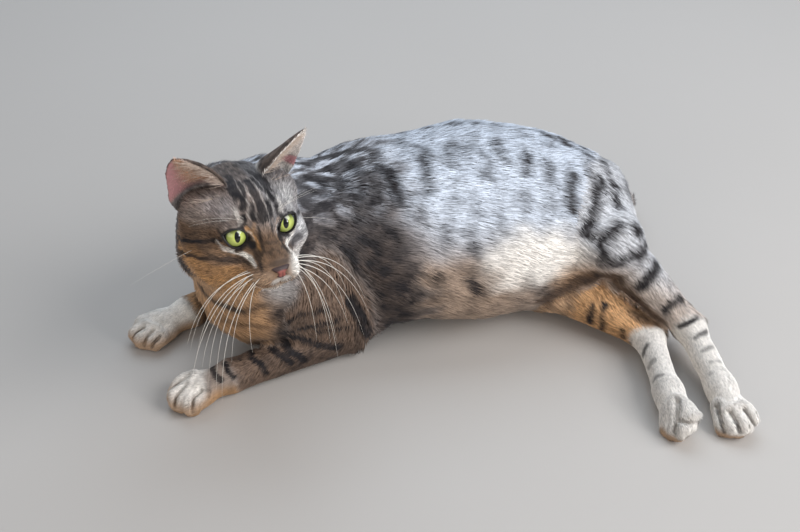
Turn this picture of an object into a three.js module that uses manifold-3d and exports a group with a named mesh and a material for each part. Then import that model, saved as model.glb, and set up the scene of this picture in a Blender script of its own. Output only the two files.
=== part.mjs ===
// A life-size short-haired cat, lying half on its right hip with its head raised and turned to its left.
// Millimetres, +Z up, the floor at z = 0. The head lies towards -X, the belly and all four feet towards -Y,
// and the back towards +Y. The outer surface is the tips of the coat.
//
// The flesh is one smooth distance field: round-ended limbs and ovals that melt into each other. Each body part
// is a net of that field, cut out by its own oval or box, with a thin gap to the parts next to it.
import * as THREE from "three";
import { mergeVertices } from "three/addons/utils/BufferGeometryUtils.js";
import Module from "manifold-3d";

const wasm = await Module();
wasm.setup();

// ---------------------------------------------------------------- driving sizes
const GAP = 0.3; // clear space between two neighbouring parts
const HEAD_SIZE = 1.06; // scale of the head, whose own sizes below suit a slightly smaller cat
const EYE_RADIUS = 10.2;
const EAR_THICKNESS = 3.2;
const TAIL_RADIUS = { root: 12, tip: 8 };
const LEFT = 1; // side signs in the head's own frame
const RIGHT = -1;

const at = (x, y, z) => new THREE.Vector3(x, y, z);

// ---------------------------------------------------------------- distance fields
// A frame with its X axis along `forward` and its Z axis as near `up` as it can be.
function frameOf(origin, forward, up = at(0, 0, 1), size = 1) {
  const x = forward.clone().normalize();
  const y = up.clone().cross(x).normalize();
  const z = x.clone().cross(y);
  return new THREE.Matrix4()
    .makeBasis(x, y, z)
    .scale(at(size, size, size))
    .setPosition(origin);
}

// A limb segment: a cone with round ends, from radius ra at a to radius rb at b.
function limb(a, b, ra, rb) {
  const axis = b.clone().sub(a);
  const length = axis.length();
  axis.divideScalar(length);
  const slope = (ra - rb) / length;
  const rise = Math.sqrt(Math.max(0, 1 - slope * slope));
  return (p) => {
    const dx = p.x - a.x;
    const dy = p.y - a.y;
    const dz = p.z - a.z;
    const along = dx * axis.x + dy * axis.y + dz * axis.z;
    const off = Math.sqrt(Math.max(0, dx * dx + dy * dy + dz * dz - along * along));
    const foot = THREE.MathUtils.clamp(along + (off * slope) / Math.max(rise, 1e-6), 0, length);
    return Math.hypot(along - foot, off) - (ra - slope * foot);
  };
}

// An oval lump of flesh in its own frame, which is turned to `forward`.
function oval(centre, radii, forward = at(1, 0, 0), up = at(0, 0, 1)) {
  const inverse = frameOf(centre, forward, up).invert();
  const q = at(0, 0, 0);
  return (p) => {
    q.copy(p).applyMatrix4(inverse);
    const near = Math.hypot(q.x / radii[0], q.y / radii[1], q.z / radii[2]);
    const steep = Math.hypot(q.x / radii[0] ** 2, q.y / radii[1] ** 2, q.z / radii[2] ** 2);
    return steep < 1e-9 ? -Math.min(...radii) : (near * (near - 1)) / steep;
  };
}

const melt = (a, b, reach) => {
  const h = Math.max(reach - Math.abs(a - b), 0) / reach;
  return Math.min(a, b) - (h * h * reach) / 4;
};
const carve = (a, b, reach) => -melt(-a, b, reach);

// Lumps that melt into each other within `reach`.
const flesh = (reach, ...lumps) => (p) => lumps.reduce((d, lump) => melt(d, lump(p), reach), 1e3);

// A field given in a turned and scaled frame, used in the floor's frame.
function placed(field, frame, size) {
  const inverse = frame.clone().invert();
  const q = at(0, 0, 0);
  return (p) => field(q.copy(p).applyMatrix4(inverse)) * size;
}

// ---------------------------------------------------------------- the pose
const chestForward = at(-0.88, -0.48, 0);
const headForward = at(0.553, -0.83, 0.071);
const headUp = at(0.023, 0.1, 0.995);
const headFrame = frameOf(at(-115, -70, 163), headForward, headUp, HEAD_SIZE);
const headLeft = headUp.clone().cross(headForward).normalize();
const inHead = (x, y, z) => at(x, y, z).applyMatrix4(headFrame);

const leftArm = {
  scapula: at(-74, -14, 112),
  shoulder: at(-98, -44, 80),
  elbow: at(-32, -26, 22),
  wrist: at(-136, -80, 14),
  tip: at(-186, -105, 8),
};
const rightArm = {
  scapula: at(-118, 44, 108),
  shoulder: at(-134, 22, 82),
  elbow: at(-98, 66, 21),
  wrist: at(-182, 2, 13.5),
  tip: at(-229, -32, 8.5),
};
const leftLeg = {
  hip: at(163, 75, 74),
  knee: at(174, 18, 76),
  hock: at(243, -32, 26),
  wrist: at(258, -96, 14),
  tip: at(264, -143, 8.5),
};
const rightLeg = {
  hip: at(156, 84, 46),
  knee: at(132, 26, 36),
  hock: at(211, -33, 14.5),
  wrist: at(215, -100, 13),
  tip: at(220, -146, 10.5),
};
const tailPath = [
  [176, 112, 62],
  [202, 136, 40],
  [222, 164, 16],
  [206, 192, 10.5],
  [158, 202, 9.5],
  [104, 197, 8.5],
  [58, 191, 7.5],
].map(([x, y, z]) => at(x, y, z));

// ---------------------------------------------------------------- flesh
// The trunk leans back on its right side: its ovals stand with their tops towards the back.
const trunkUp = at(0, -0.32, 0.95);
const trunk = flesh(
  30,
  oval(at(-104, -14, 64), [62, 52, 62], chestForward),
  oval(at(-112, 30, 92), [58, 48, 46], chestForward),
  oval(at(-22, 40, 74), [84, 84, 72], at(1, 0, 0), trunkUp),
  oval(at(58, 58, 73), [92, 95, 74], at(1, 0, 0), trunkUp),
  oval(at(120, 68, 68), [71, 78, 67], at(1, 0, 0), trunkUp),
  oval(at(160, 80, 58), [33, 39, 46]),
);
const neck = flesh(
  24,
  limb(at(-110, 8, 104), at(-133, -38, 140), 47, 39),
  limb(at(-127, -40, 84), inHead(-6, -3, -26), 36, 35),
);

// The head in its own frame: x towards the nose, y towards its left, z up, the eyes at 27 and the nose tip at 54.
const headLocal = (() => {
  const lumps = [
    oval(at(-14, 0, 7), [38, 34, 27]),
    oval(at(6, 0, 11), [24, 27, 20]),
    limb(at(17, 0, 9), at(45, 0, -9.5), 9.5, 7),
    oval(at(37, 0, -27), [11.5, 9, 7.5]),
  ];
  for (const side of [LEFT, RIGHT]) {
    lumps.push(
      oval(at(-12, side * 21, -6), [25, 22, 22]),
      oval(at(7, side * 22, -13), [22, 20, 16]),
      limb(at(14, side * 15, -13), at(40, side * 6, -15), 13, 9),
      oval(at(43, side * 8, -19), [10.5, 10, 8.5]),
      limb(at(0, side * 18, -20), at(32, side * 5, -25), 15, 8),
      oval(at(15, side * 17, 11), [10.5, 12, 7.5]),
      oval(at(-8, side * 27, -21), [21, 19.5, 20]),
      oval(at(-9, side * 30, 11), [17, 14, 14]),
    );
  }
  const solid = flesh(8, ...lumps);
  const sockets = [LEFT, RIGHT].map((side) => oval(at(33.5, side * 20.5, 2.6), [9, 11, 8.2], at(0.95, side * 0.32, 0.05)));
  return (p) => sockets.reduce((d, socket) => carve(d, socket(p), 4), solid(p));
})();
const head = placed(headLocal, headFrame, HEAD_SIZE);

// Four toes fanned across a paw. `across` points from the first toe to the last.
function paw(wrist, tip, across, width, radius) {
  const reach = tip.clone().sub(wrist);
  const side = across.clone().normalize();
  const palm = wrist.clone().addScaledVector(reach, 0.45);
  const lumps = [limb(wrist, palm, radius * 1.4, radius * 1.55)];
  for (let toe = 0; toe < 4; toe++) {
    const spread = (toe - 1.5) / 1.5;
    const middle = 1 - 0.16 * spread * spread;
    const root = palm.clone().addScaledVector(side, spread * width * 0.24);
    const end = wrist
      .clone()
      .addScaledVector(reach, middle - radius / reach.length())
      .addScaledVector(side, spread * width * 0.36);
    lumps.push(limb(root, end, radius * 1.05, radius));
  }
  return flesh(3, ...lumps);
}

const frontPaw = { width: 34, radius: 8.2 };
const hindPaw = { width: 31, radius: 7.8 };
const upperArm = (j) => flesh(14, limb(j.scapula, j.shoulder, 28, 28), limb(j.shoulder, j.elbow, 27, 19));
const forearm = (j, across) =>
  flesh(8, limb(j.elbow, j.wrist, 19.5, 13.5), paw(j.wrist, j.tip, across, frontPaw.width, frontPaw.radius));
const thigh = (j, top, bottom) => limb(j.hip, j.knee, top, bottom);
const shank = (j, top, across) =>
  flesh(
    10,
    limb(j.knee, j.hock, top, 12.5),
    limb(j.hock, j.wrist, 12, 11),
    paw(j.wrist, j.tip, across, hindPaw.width, hindPaw.radius),
  );
const limbs = {
  upper_arm_left: upperArm(leftArm),
  upper_arm_right: upperArm(rightArm),
  forearm_left: forearm(leftArm, at(-0.35, 0.94, 0.1)),
  forearm_right: forearm(rightArm, at(-0.55, 0.83, 0.1)),
  thigh_left: thigh(leftLeg, 43, 33),
  thigh_right: thigh(rightLeg, 42, 30),
  shank_left: shank(leftLeg, 27, at(1, 0.1, 0.35)),
  shank_right: shank(rightLeg, 31, at(0.75, 0.05, 0.75)),
};

const torso = flesh(26, trunk, neck);
const shoulders = flesh(18, torso, limbs.upper_arm_left, limbs.upper_arm_right);
const body = flesh(18, shoulders, limbs.thigh_left, limbs.thigh_right);
const farLimbs = [limbs.forearm_left, limbs.forearm_right, limbs.shank_left, limbs.shank_right];
const headAndBody = flesh(18, head, body);
const whole = flesh(18, head, flesh(12, body, ...farLimbs));

// ---------------------------------------------------------------- nets and cuts
// A closed net over the surface where the field is zero, inside a box, with one corner in each cell that it crosses.
function netOf(field, low, high, cell) {
  const n = ["x", "y", "z"].map((k) => Math.ceil((high[k] - low[k]) / cell) + 1);
  const index = (i, j, k) => (k * n[1] + j) * n[0] + i;
  const values = new Float32Array(n[0] * n[1] * n[2]);
  const p = at(0, 0, 0);
  for (let k = 0; k < n[2]; k++)
    for (let j = 0; j < n[1]; j++)
      for (let i = 0; i < n[0]; i++) {
        p.set(low.x + i * cell, low.y + j * cell, low.z + k * cell);
        const edge = i === 0 || j === 0 || k === 0 || i === n[0] - 1 || j === n[1] - 1 || k === n[2] - 1;
        values[index(i, j, k)] = edge ? Math.max(cell / 2, field(p)) : field(p);
      }
  const step = [at(1, 0, 0), at(0, 1, 0), at(0, 0, 1)];
  const corners = new Map();
  const points = [];
  function corner(i, j, k) {
    const key = index(i, j, k);
    if (corners.has(key)) return corners.get(key);
    const sum = at(0, 0, 0);
    let count = 0;
    for (let axis = 0; axis < 3; axis++)
      for (let a = 0; a < 2; a++)
        for (let b = 0; b < 2; b++) {
          const from = [0, 0, 0];
          from[(axis + 1) % 3] = a;
          from[(axis + 2) % 3] = b;
          const to = [...from];
          to[axis] = 1;
          const v0 = values[index(i + from[0], j + from[1], k + from[2])];
          const v1 = values[index(i + to[0], j + to[1], k + to[2])];
          if (v0 < 0 === v1 < 0) continue;
          sum.add(at(...from).addScaledVector(step[axis], v0 / (v0 - v1)));
          count++;
        }
    sum.divideScalar(count).add(at(i, j, k)).multiplyScalar(cell).add(low);
    points.push(settle(field, sum, cell));
    corners.set(key, points.length - 1);
    return points.length - 1;
  }
  const faces = [];
  const quad = (a, b, c, d, flip) => {
    const shortAC = points[a].distanceTo(points[c]) < points[b].distanceTo(points[d]);
    const two = shortAC ? [a, b, c, a, c, d] : [a, b, d, b, c, d];
    faces.push(...(flip ? two.reverse() : two));
  };
  for (let k = 0; k < n[2] - 1; k++)
    for (let j = 0; j < n[1] - 1; j++)
      for (let i = 0; i < n[0] - 1; i++) {
        const inside = values[index(i, j, k)] < 0;
        if (inside !== values[index(i + 1, j, k)] < 0)
          quad(corner(i, j - 1, k - 1), corner(i, j, k - 1), corner(i, j, k), corner(i, j - 1, k), !inside);
        if (inside !== values[index(i, j + 1, k)] < 0)
          quad(corner(i - 1, j, k - 1), corner(i - 1, j, k), corner(i, j, k), corner(i, j, k - 1), !inside);
        if (inside !== values[index(i, j, k + 1)] < 0)
          quad(corner(i - 1, j - 1, k), corner(i, j - 1, k), corner(i, j, k), corner(i - 1, j, k), !inside);
      }
  const net = new THREE.BufferGeometry().setFromPoints(points);
  net.setIndex(faces);
  return net;
}

// Moves a net's corner onto the surface, by at most half a cell.
function settle(field, point, cell) {
  const h = 0.2;
  const moved = point.clone();
  for (let turn = 0; turn < 2; turn++) {
    const d = field(moved);
    const slope = at(
      field(moved.clone().setX(moved.x + h)) - d,
      field(moved.clone().setY(moved.y + h)) - d,
      field(moved.clone().setZ(moved.z + h)) - d,
    ).divideScalar(h);
    moved.addScaledVector(slope, -d / Math.max(slope.lengthSq(), 0.25));
  }
  return moved.distanceTo(point) < cell / 2 ? moved : point;
}

function solidOf(geometry) {
  const bare = geometry.clone();
  bare.deleteAttribute("normal");
  bare.deleteAttribute("uv");
  const merged = mergeVertices(bare, 1e-4);
  return new wasm.Manifold(
    new wasm.Mesh({
      numProp: 3,
      vertProperties: merged.attributes.position.array,
      triVerts: new Uint32Array(merged.index.array),
    }),
  );
}

function geometryOf(solid) {
  const mesh = solid.getMesh();
  return new THREE.BufferGeometry()
    .setAttribute("position", new THREE.BufferAttribute(new Float32Array(mesh.vertProperties), 3))
    .setIndex(new THREE.BufferAttribute(new Uint32Array(mesh.triVerts), 1));
}

// The largest closed piece of a solid, without the crumbs that a cut can leave.
const largest = (solid) => solid.decompose().sort((a, b) => b.volume() - a.volume())[0];

// Cutting shapes, each with the same shape grown by the gap.
function cutter(make) {
  return { tight: solidOf(make(0)), grown: solidOf(make(GAP)) };
}
const boxCutter = (frame, low, high) =>
  cutter((grow) => {
    const size = at(...high).sub(at(...low));
    const middle = at(...high).add(at(...low)).divideScalar(2);
    return new THREE.BoxGeometry(size.x + 2 * grow, size.y + 2 * grow, size.z + 2 * grow)
      .translate(middle.x, middle.y, middle.z)
      .applyMatrix4(frame);
  });
const ovalCutter = (centre, radii, forward, up) =>
  cutter((grow) =>
    new THREE.SphereGeometry(1, 12, 8)
      .scale(radii[0] + grow, radii[1] + grow, radii[2] + grow)
      .applyMatrix4(frameOf(centre, forward, up)),
  );

// Everything past a plane that stands square to a limb, from the plane's point towards `towards`.
const pastPlane = (point, towards, up = at(0, 0, 1), reach = 200) =>
  boxCutter(frameOf(point, towards.clone().sub(point), up), [0, -reach, -reach], [2 * reach, reach, reach]);

// ---------------------------------------------------------------- ears, eyes and nose
// A leaf of skin, cupped round its own middle line and drawn in to a narrow tip. Its hollow side faces `open`.
function earShape(ear, grow) {
  const root = inHead(...ear.root);
  const tip = inHead(...ear.tip);
  const open = at(...ear.open).transformDirection(headFrame);
  const length = tip.distanceTo(root) + ear.sunk;
  const leaf = new THREE.BoxGeometry(1, 2, 2, 7, 6, 1).translate(0.5, 0, 0);
  const corner = leaf.attributes.position;
  for (let i = 0; i < corner.count; i++) {
    const [along, across, through] = [corner.getX(i), corner.getY(i), -corner.getZ(i)];
    const t = THREE.MathUtils.lerp(ear.from, ear.to, Math.sin(along * ear.spread) / Math.sin(ear.spread));
    const ends = Math.min(1, 0.75 + 1.4 * t, 2.6 * Math.sqrt(1 - t));
    const half = ear.halfWidth * (1 - Math.max(t, 0) ** ear.full) ** ear.round * ends;
    const cup = THREE.MathUtils.lerp(ear.cup, ear.cup * 0.4, t);
    const radius = half / Math.sin(cup);
    const thick = (EAR_THICKNESS / 2) * ends * (1 - ear.margin * across ** 4) + grow;
    const turn = across * (cup + (1.5 * grow) / radius);
    const layer = radius + through * thick;
    const y = layer * Math.sin(turn) + ear.bow * Math.sin(Math.PI * t);
    const z = radius * Math.cos(cup) - layer * Math.cos(turn);
    corner.setXYZ(i, t * length - ear.sunk + (2 * along - 1) * grow, y, z);
  }
  return leaf.applyMatrix4(frameOf(root, tip.clone().sub(root), open));
}
const earSize = { halfWidth: 21.5, cup: 1.15, sunk: 7, from: -0.14, to: 0.985, spread: 1.1, margin: 0.7 };
const earPlaces = {
  left: { ...earSize, halfWidth: 23.5, cup: 1.42, full: 1.25, round: 0.76, root: [-6, 28.8, 22.8], tip: [8, 46.4, 61.5], open: [0.89, 0.456, 0], bow: 1.5 },
  right: { ...earSize, halfWidth: 23, full: 1.8, round: 0.58, root: [-6, -31.5, 20.5], tip: [8, -52, 63.5], open: [0.88, -0.47, 0], bow: -4.5 },
};

const eyeShape = (side, grow) =>
  new THREE.SphereGeometry(EYE_RADIUS + grow, 12, 8)
    .rotateX(Math.PI / 2)
    .applyMatrix4(frameOf(inHead(20, side * 18.4, 3.4), headForward, headUp));

// ---------------------------------------------------------------- the nets of the flesh
const net = (field, low, high, cell) => solidOf(netOf(field, at(...low), at(...high), cell));
// The tail's flesh: a round section that runs along its path and tapers to a rounded tip.
const tailCurve = new THREE.CatmullRomCurve3(tailPath);
function tailShape(grow) {
  const tube = new THREE.SphereGeometry(1, 8, 20);
  const corner = tube.attributes.position;
  const ends = tailCurve.getLength();
  for (let i = 0; i < corner.count; i++) {
    const angle = Math.acos(THREE.MathUtils.clamp(corner.getY(i), -1, 1));
    const ring = Math.sin(angle);
    const t = (1 + corner.getY(i)) / 2;
    const along = tailCurve.getPointAt(t);
    const ahead = tailCurve.getTangentAt(t);
    const side = at(-ahead.y, ahead.x, 0).normalize();
    const up = side.clone().cross(ahead);
    const radius = THREE.MathUtils.lerp(TAIL_RADIUS.root, TAIL_RADIUS.tip, t);
    const round = Math.min(1, Math.sqrt((Math.min(t, 1 - t) * ends) / radius)) * radius + grow;
    const x = ring > 1e-6 ? (corner.getX(i) / ring) * round : 0;
    const z = ring > 1e-6 ? (corner.getZ(i) / ring) * round : 0;
    along.addScaledVector(side, x).addScaledVector(up, z);
    corner.setXYZ(i, along.x, along.y, along.z);
  }
  return tube;
}

const floor = solidOf(new THREE.BoxGeometry(900, 900, 400).translate(0, 0, 200));

// A limb's own net, and the same net grown by the gap.
const limbNets = (field, low, high, cell) => ({
  tight: net(field, low, high, cell),
  grown: net((p) => field(p) - 2 * GAP, low, high, cell),
});

const LIMB_CELL = 9.6;
const PAW_CELL = 7.3;
const FOOT_CELL = 8.3;
const MUSCLE_CELL = 19;
const TRUNK_CELL = 25;
const NECK_CELL = 16;
const HEAD_CELL = 7.5;
const NOSE_CELL = 4;
const limbBoxes = {
  forearm_left: [[-200, -135, -9], [-15, -5, 60]],
  forearm_right: [[-245, -60, -9], [-65, 100, 60]],
  shank_left: [[135, -160, -9], [295, 60, 115]],
  shank_right: [[85, -160, -9], [245, 60, 75]],
};

// ---------------------------------------------------------------- the cuts
const headPlane = frameOf(inHead(-22, 0, -2), headForward.clone().applyAxisAngle(headLeft, -0.48), headUp);
const neckPlane = frameOf(at(-118, -10, 112), at(-0.35, -0.35, 0.87), at(1, 0, 0));
const halfSpace = (frame) => boxCutter(frame, [0, -200, -200], [250, 200, 200]);
const overlapOf = (a, b) => ({ tight: a.tight.intersect(b.tight), grown: a.grown.intersect(b.grown) });
const cuts = {
  head: overlapOf(halfSpace(headPlane), ovalCutter(inHead(8, 0, -2), [56, 52, 56], headForward, headUp)),
  nose: ovalCutter(inHead(52.5, 0, -14.5), [5.5, 7, 5.6], headForward, headUp),
  neck: boxCutter(neckPlane, [0, -120, -110], [150, 140, 66]),
  forepaw_left: pastPlane(leftArm.wrist, leftArm.tip),
  forepaw_right: pastPlane(rightArm.wrist, rightArm.tip),
  forearm_left: pastPlane(leftArm.elbow.clone().lerp(leftArm.wrist, 0.14), leftArm.wrist),
  forearm_right: pastPlane(rightArm.elbow.clone().lerp(rightArm.wrist, 0.14), rightArm.wrist),
  hind_foot_left: pastPlane(leftLeg.hock, leftLeg.wrist),
  hind_foot_right: pastPlane(rightLeg.hock, rightLeg.wrist),
  shank_left: pastPlane(leftLeg.knee.clone().lerp(leftLeg.hock, 0.3), leftLeg.hock),
  shank_right: pastPlane(rightLeg.knee.clone().lerp(rightLeg.hock, 0.3), rightLeg.hock),
  upper_arm_left: ovalCutter(at(-64, -48, 60), [68, 38, 32], at(0.3, 0, -0.95), at(0.2, -0.98, 0)),
  upper_arm_right: ovalCutter(at(-116, 58, 58), [62, 30, 34], at(0.2, 0.2, -0.95), at(-0.48, 0.88, 0)),
  thigh_left: ovalCutter(at(176, 46, 82), [66, 50, 46], at(0.05, -0.98, -0.12)),
  thigh_right: ovalCutter(at(146, 44, 26), [60, 46, 36], at(-0.35, -0.93, 0)),
  hips: halfSpace(frameOf(at(104, 0, 0), at(1, 0, 0))),
  chest: halfSpace(frameOf(at(-16, 0, 0), at(-1, 0, 0))),
};

const materials = {
  coat: new THREE.MeshStandardMaterial({ color: 0x8d8a88, roughness: 0.85, metalness: 0 }),
  pale: new THREE.MeshStandardMaterial({ color: 0xd9d2c8, roughness: 0.85, metalness: 0 }),
  ear: new THREE.MeshStandardMaterial({ color: 0x9a8078, roughness: 0.8, metalness: 0 }),
  eye: new THREE.MeshStandardMaterial({ color: 0xa9c267, roughness: 0.1, metalness: 0 }),
  nose: new THREE.MeshStandardMaterial({ color: 0x9a5a50, roughness: 0.6, metalness: 0 }),
};

// ---------------------------------------------------------------- the parts
const cat = new THREE.Group();
const without = (solid, ...cutters) => cutters.reduce((left, one) => left.subtract(one.grown), solid);
function add(name, solid, material) {
  const mesh = new THREE.Mesh(geometryOf(largest(solid.intersect(floor))), material);
  mesh.name = name;
  cat.add(mesh);
}

const ears = {};
const eyes = {};
for (const [name, side] of [
  ["left", LEFT],
  ["right", RIGHT],
]) {
  ears[name] = cutter((grow) => earShape(earPlaces[name], grow));
  eyes[name] = cutter((grow) => eyeShape(side, grow));
  add("ear_" + name, ears[name].tight, materials.ear);
  add("eye_" + name, eyes[name].tight, materials.eye);
}

const noseNet = net(head, [-100, -135, 135], [-60, -95, 165], NOSE_CELL);
add("nose", noseNet.intersect(cuts.nose.tight), materials.nose);
const headNet = net(headAndBody, [-190, -150, 80], [-40, 20, 240], HEAD_CELL);
const headParts = [ears.left, ears.right, eyes.left, eyes.right, cuts.nose];
add("head", without(headNet.intersect(cuts.head.tight), ...headParts), materials.coat);
const neckNet = net(headAndBody, [-210, -120, 50], [-30, 120, 210], NECK_CELL);
add("neck", without(neckNet.intersect(cuts.neck.tight), cuts.head, ears.left, ears.right), materials.coat);

// A forearm with its paw, or a shank with its foot. The rest of the flesh is cut by the same limb grown by the gap.
function addLimb(limbName, farName, side, farCell, ...cutters) {
  const name = limbName + "_" + side;
  const end = cuts[farName + "_" + side];
  const near = cuts[name];
  const fine = net(limbs[name], ...limbBoxes[name], farCell);
  const plain = net(limbs[name], ...limbBoxes[name], LIMB_CELL);
  const grown = net((p) => limbs[name](p) - 4 * GAP, ...limbBoxes[name], LIMB_CELL);
  add(farName + "_" + side, without(fine.intersect(end.tight), ...cutters), materials.pale);
  add(name, without(plain.intersect(near.tight), end, ...cutters), materials.coat);
  return { grown: grown.intersect(near.grown) };
}
const far = {};
for (const side of ["left", "right"]) {
  far["forearm_" + side] = addLimb("forearm", "forepaw", side, PAW_CELL);
}
far.shank_left = addLimb("shank", "hind_foot", "left", FOOT_CELL);
far.shank_right = addLimb("shank", "hind_foot", "right", FOOT_CELL, far.shank_left);

const front = [cuts.head, cuts.neck, far.forearm_left, far.forearm_right];
const tail = cutter(tailShape);
const rear = [far.shank_left, far.shank_right];
const boxes = {
  upper_arm_left: [[-150, -100, -13], [10, 0, 150]],
  upper_arm_right: [[-190, 0, -13], [-40, 110, 150]],
  thigh_left: [[100, -50, -14], [250, 150, 160]],
  thigh_right: [[70, -50, -14], [240, 130, 100]],
};
for (const name of ["upper_arm_left", "upper_arm_right"]) {
  const armNet = net(whole, ...boxes[name], MUSCLE_CELL).intersect(cuts[name].tight);
  add(name, without(armNet, ...front), materials.coat);
}
const thighLeft = net(whole, ...boxes.thigh_left, MUSCLE_CELL).intersect(cuts.thigh_left.tight);
add("thigh_left", without(thighLeft, ...rear), materials.coat);
const thighRight = net(whole, ...boxes.thigh_right, MUSCLE_CELL).intersect(cuts.thigh_right.tight);
add("thigh_right", without(thighRight, ...rear, cuts.thigh_left), materials.coat);

const trunkNet = net(headAndBody, [-195, -115, -25], [240, 210, 200], TRUNK_CELL);
const arms = [cuts.upper_arm_left, cuts.upper_arm_right];
const thighs = [cuts.thigh_left, cuts.thigh_right];
add("chest", without(trunkNet.intersect(cuts.chest.tight), ...front, ...arms), materials.coat);
add("hips", without(trunkNet.intersect(cuts.hips.tight), ...rear, ...thighs, tail), materials.coat);
add("tail", tail.tight, materials.coat);
add("belly", without(trunkNet, cuts.chest, cuts.hips, ...arms, ...rear, ...thighs), materials.coat);

// The origin is the middle of the cat's box, at the floor.
const box = new THREE.Box3().setFromObject(cat);
const middle = box.getCenter(at(0, 0, 0));
cat.position.set(-middle.x, -middle.y, -box.min.z);
const lyingCat = new THREE.Group().add(cat);

export default lyingCat;
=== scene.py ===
"""Looks of a life-size tabby cat: one skin over the flesh, eyes, nose, whiskers and a coat of solid tufts."""

import math

import bmesh
import bpy
import numpy as np
from bpy.props import FloatProperty, FloatVectorProperty, IntProperty, PointerProperty
from bpy.types import Operator, Panel, PropertyGroup
from mathutils import Matrix, Vector
from mathutils.bvhtree import BVHTree


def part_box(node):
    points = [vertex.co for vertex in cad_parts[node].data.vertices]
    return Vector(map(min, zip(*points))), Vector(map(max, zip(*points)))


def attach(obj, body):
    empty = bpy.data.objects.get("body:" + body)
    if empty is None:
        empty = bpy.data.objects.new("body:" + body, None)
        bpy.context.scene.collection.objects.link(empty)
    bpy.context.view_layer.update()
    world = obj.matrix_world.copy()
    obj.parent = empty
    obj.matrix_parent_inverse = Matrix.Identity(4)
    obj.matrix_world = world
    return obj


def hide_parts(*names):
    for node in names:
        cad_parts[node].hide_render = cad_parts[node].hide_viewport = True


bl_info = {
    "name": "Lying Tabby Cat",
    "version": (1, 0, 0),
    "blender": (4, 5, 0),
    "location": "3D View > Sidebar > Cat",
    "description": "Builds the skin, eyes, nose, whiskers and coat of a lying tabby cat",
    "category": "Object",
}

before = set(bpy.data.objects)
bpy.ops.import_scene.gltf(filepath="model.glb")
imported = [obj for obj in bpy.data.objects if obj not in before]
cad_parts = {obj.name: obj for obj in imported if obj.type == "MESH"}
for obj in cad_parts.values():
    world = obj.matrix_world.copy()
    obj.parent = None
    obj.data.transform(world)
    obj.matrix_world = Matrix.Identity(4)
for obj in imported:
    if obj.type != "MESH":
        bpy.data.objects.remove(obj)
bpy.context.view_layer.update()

MM = 0.001
SEPARATE = ("eye_left", "eye_right", "nose")
FLESH = sorted(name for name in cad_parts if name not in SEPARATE)
PART = {name: index for index, name in enumerate(FLESH)}
made = {}  # what one operator hands to the next: the flesh's search tree, the skin's arrays, the colour group


# ---------------------------------------------------------------- small mathematics
def unit(vectors):
    """The same directions at length 1."""
    return vectors / np.maximum(np.linalg.norm(vectors, axis=-1, keepdims=True), 1e-12)


def ramp(low, high, value):
    """0 below low, 1 above high, and smooth between them. It falls where low is above high."""
    t = np.clip((value - low) / (high - low), 0.0, 1.0)
    return t * t * (3.0 - 2.0 * t)


def ripple(points, size, seed):
    """Smooth noise from -1 to 1 whose lumps are about `size` across."""
    rng = np.random.default_rng(seed)
    total = np.zeros(len(points))
    for _ in range(9):
        wave = unit(rng.normal(size=3)) * rng.uniform(0.7, 1.4) * math.pi / size
        total += np.sin(points @ wave + rng.uniform(0, 2 * math.pi))
    return np.clip(total / 4.0, -1.0, 1.0)


def line_distance(points, line):
    """How far each point lies from a bent line."""
    best = np.full(len(points), 1e9)
    for start, end in zip(np.array(line[:-1], float), np.array(line[1:], float)):
        along = end - start
        t = np.clip((points - start) @ along / (along @ along), 0.0, 1.0)
        best = np.minimum(best, np.linalg.norm(points - start - t[:, None] * along, axis=1))
    return best


def near_line(points, line, width):
    """1 on a bent line and 0 beyond `width` from it."""
    return ramp(width, width * 0.35, line_distance(points, line))


def near_oval(points, centre, radii, edge=0.35):
    """1 inside an oval, falling to 0 over the outer `edge` of its radius and as much beyond it."""
    reach = np.linalg.norm((points - np.array(centre)) / np.array(radii), axis=1)
    return ramp(1.0 + edge, 1.0 - edge, reach)


def spread(values, edges, rounds, share=0.5):
    """Each vertex's value moves towards the mean of its neighbours', `rounds` times."""
    values = np.array(values, float).reshape(len(values), -1)
    first, second = edges[:, 0], edges[:, 1]
    count = len(values)
    degree = np.maximum(np.bincount(first, minlength=count) + np.bincount(second, minlength=count), 1)
    for _ in range(rounds):
        for column in values.T:
            total = np.bincount(first, column[second], count) + np.bincount(second, column[first], count)
            column += share * (total / degree - column)
    return values


# ---------------------------------------------------------------- the frame's landmarks
def centre_of(name):
    low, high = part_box(name)
    return np.array((low + high) / 2)


HEAD_UNIT = 1.06 * MM  # one unit of the head's own frame
HEAD_FORWARD = unit(np.array([0.553, -0.83, 0.071]))
HEAD_LEFT = unit(np.cross([0.023, 0.1, 0.995], HEAD_FORWARD))
HEAD_UP = np.cross(HEAD_FORWARD, HEAD_LEFT)
HEAD_AXES = np.array([HEAD_FORWARD, HEAD_LEFT, HEAD_UP])
EYE_PLACE = np.array([20.0, 18.4, 3.4])  # the left eyeball's centre in the head's frame
HEAD_ORIGIN = (centre_of("eye_left") + centre_of("eye_right")) / 2
HEAD_ORIGIN = HEAD_ORIGIN - HEAD_UNIT * (EYE_PLACE * [1, 0, 1]) @ HEAD_AXES


def to_head(points):
    return (points - HEAD_ORIGIN) @ HEAD_AXES.T / HEAD_UNIT


def from_head(points):
    return np.asarray(points, float) @ HEAD_AXES * HEAD_UNIT + HEAD_ORIGIN


def mirrored(points):
    """Head points folded onto the left side."""
    return np.where([False, True, False], np.abs(points), points)


# The eye's opening, in degrees on the eyeball: `along` runs from the tear corner to the outer corner.
EYE_RADIUS = 9.62
OPENING_AXIS = np.array([0.968, 0.241, 0.07])
OPENING_ALONG = np.array([-0.241, 0.812, 0.531])
OPENING_UP = np.array([0.072, -0.531, 0.844])
OPENING_MIDDLE = -3.0
OPENING_HALF = 62.0
CORNER_HEIGHT = -13.0


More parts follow.
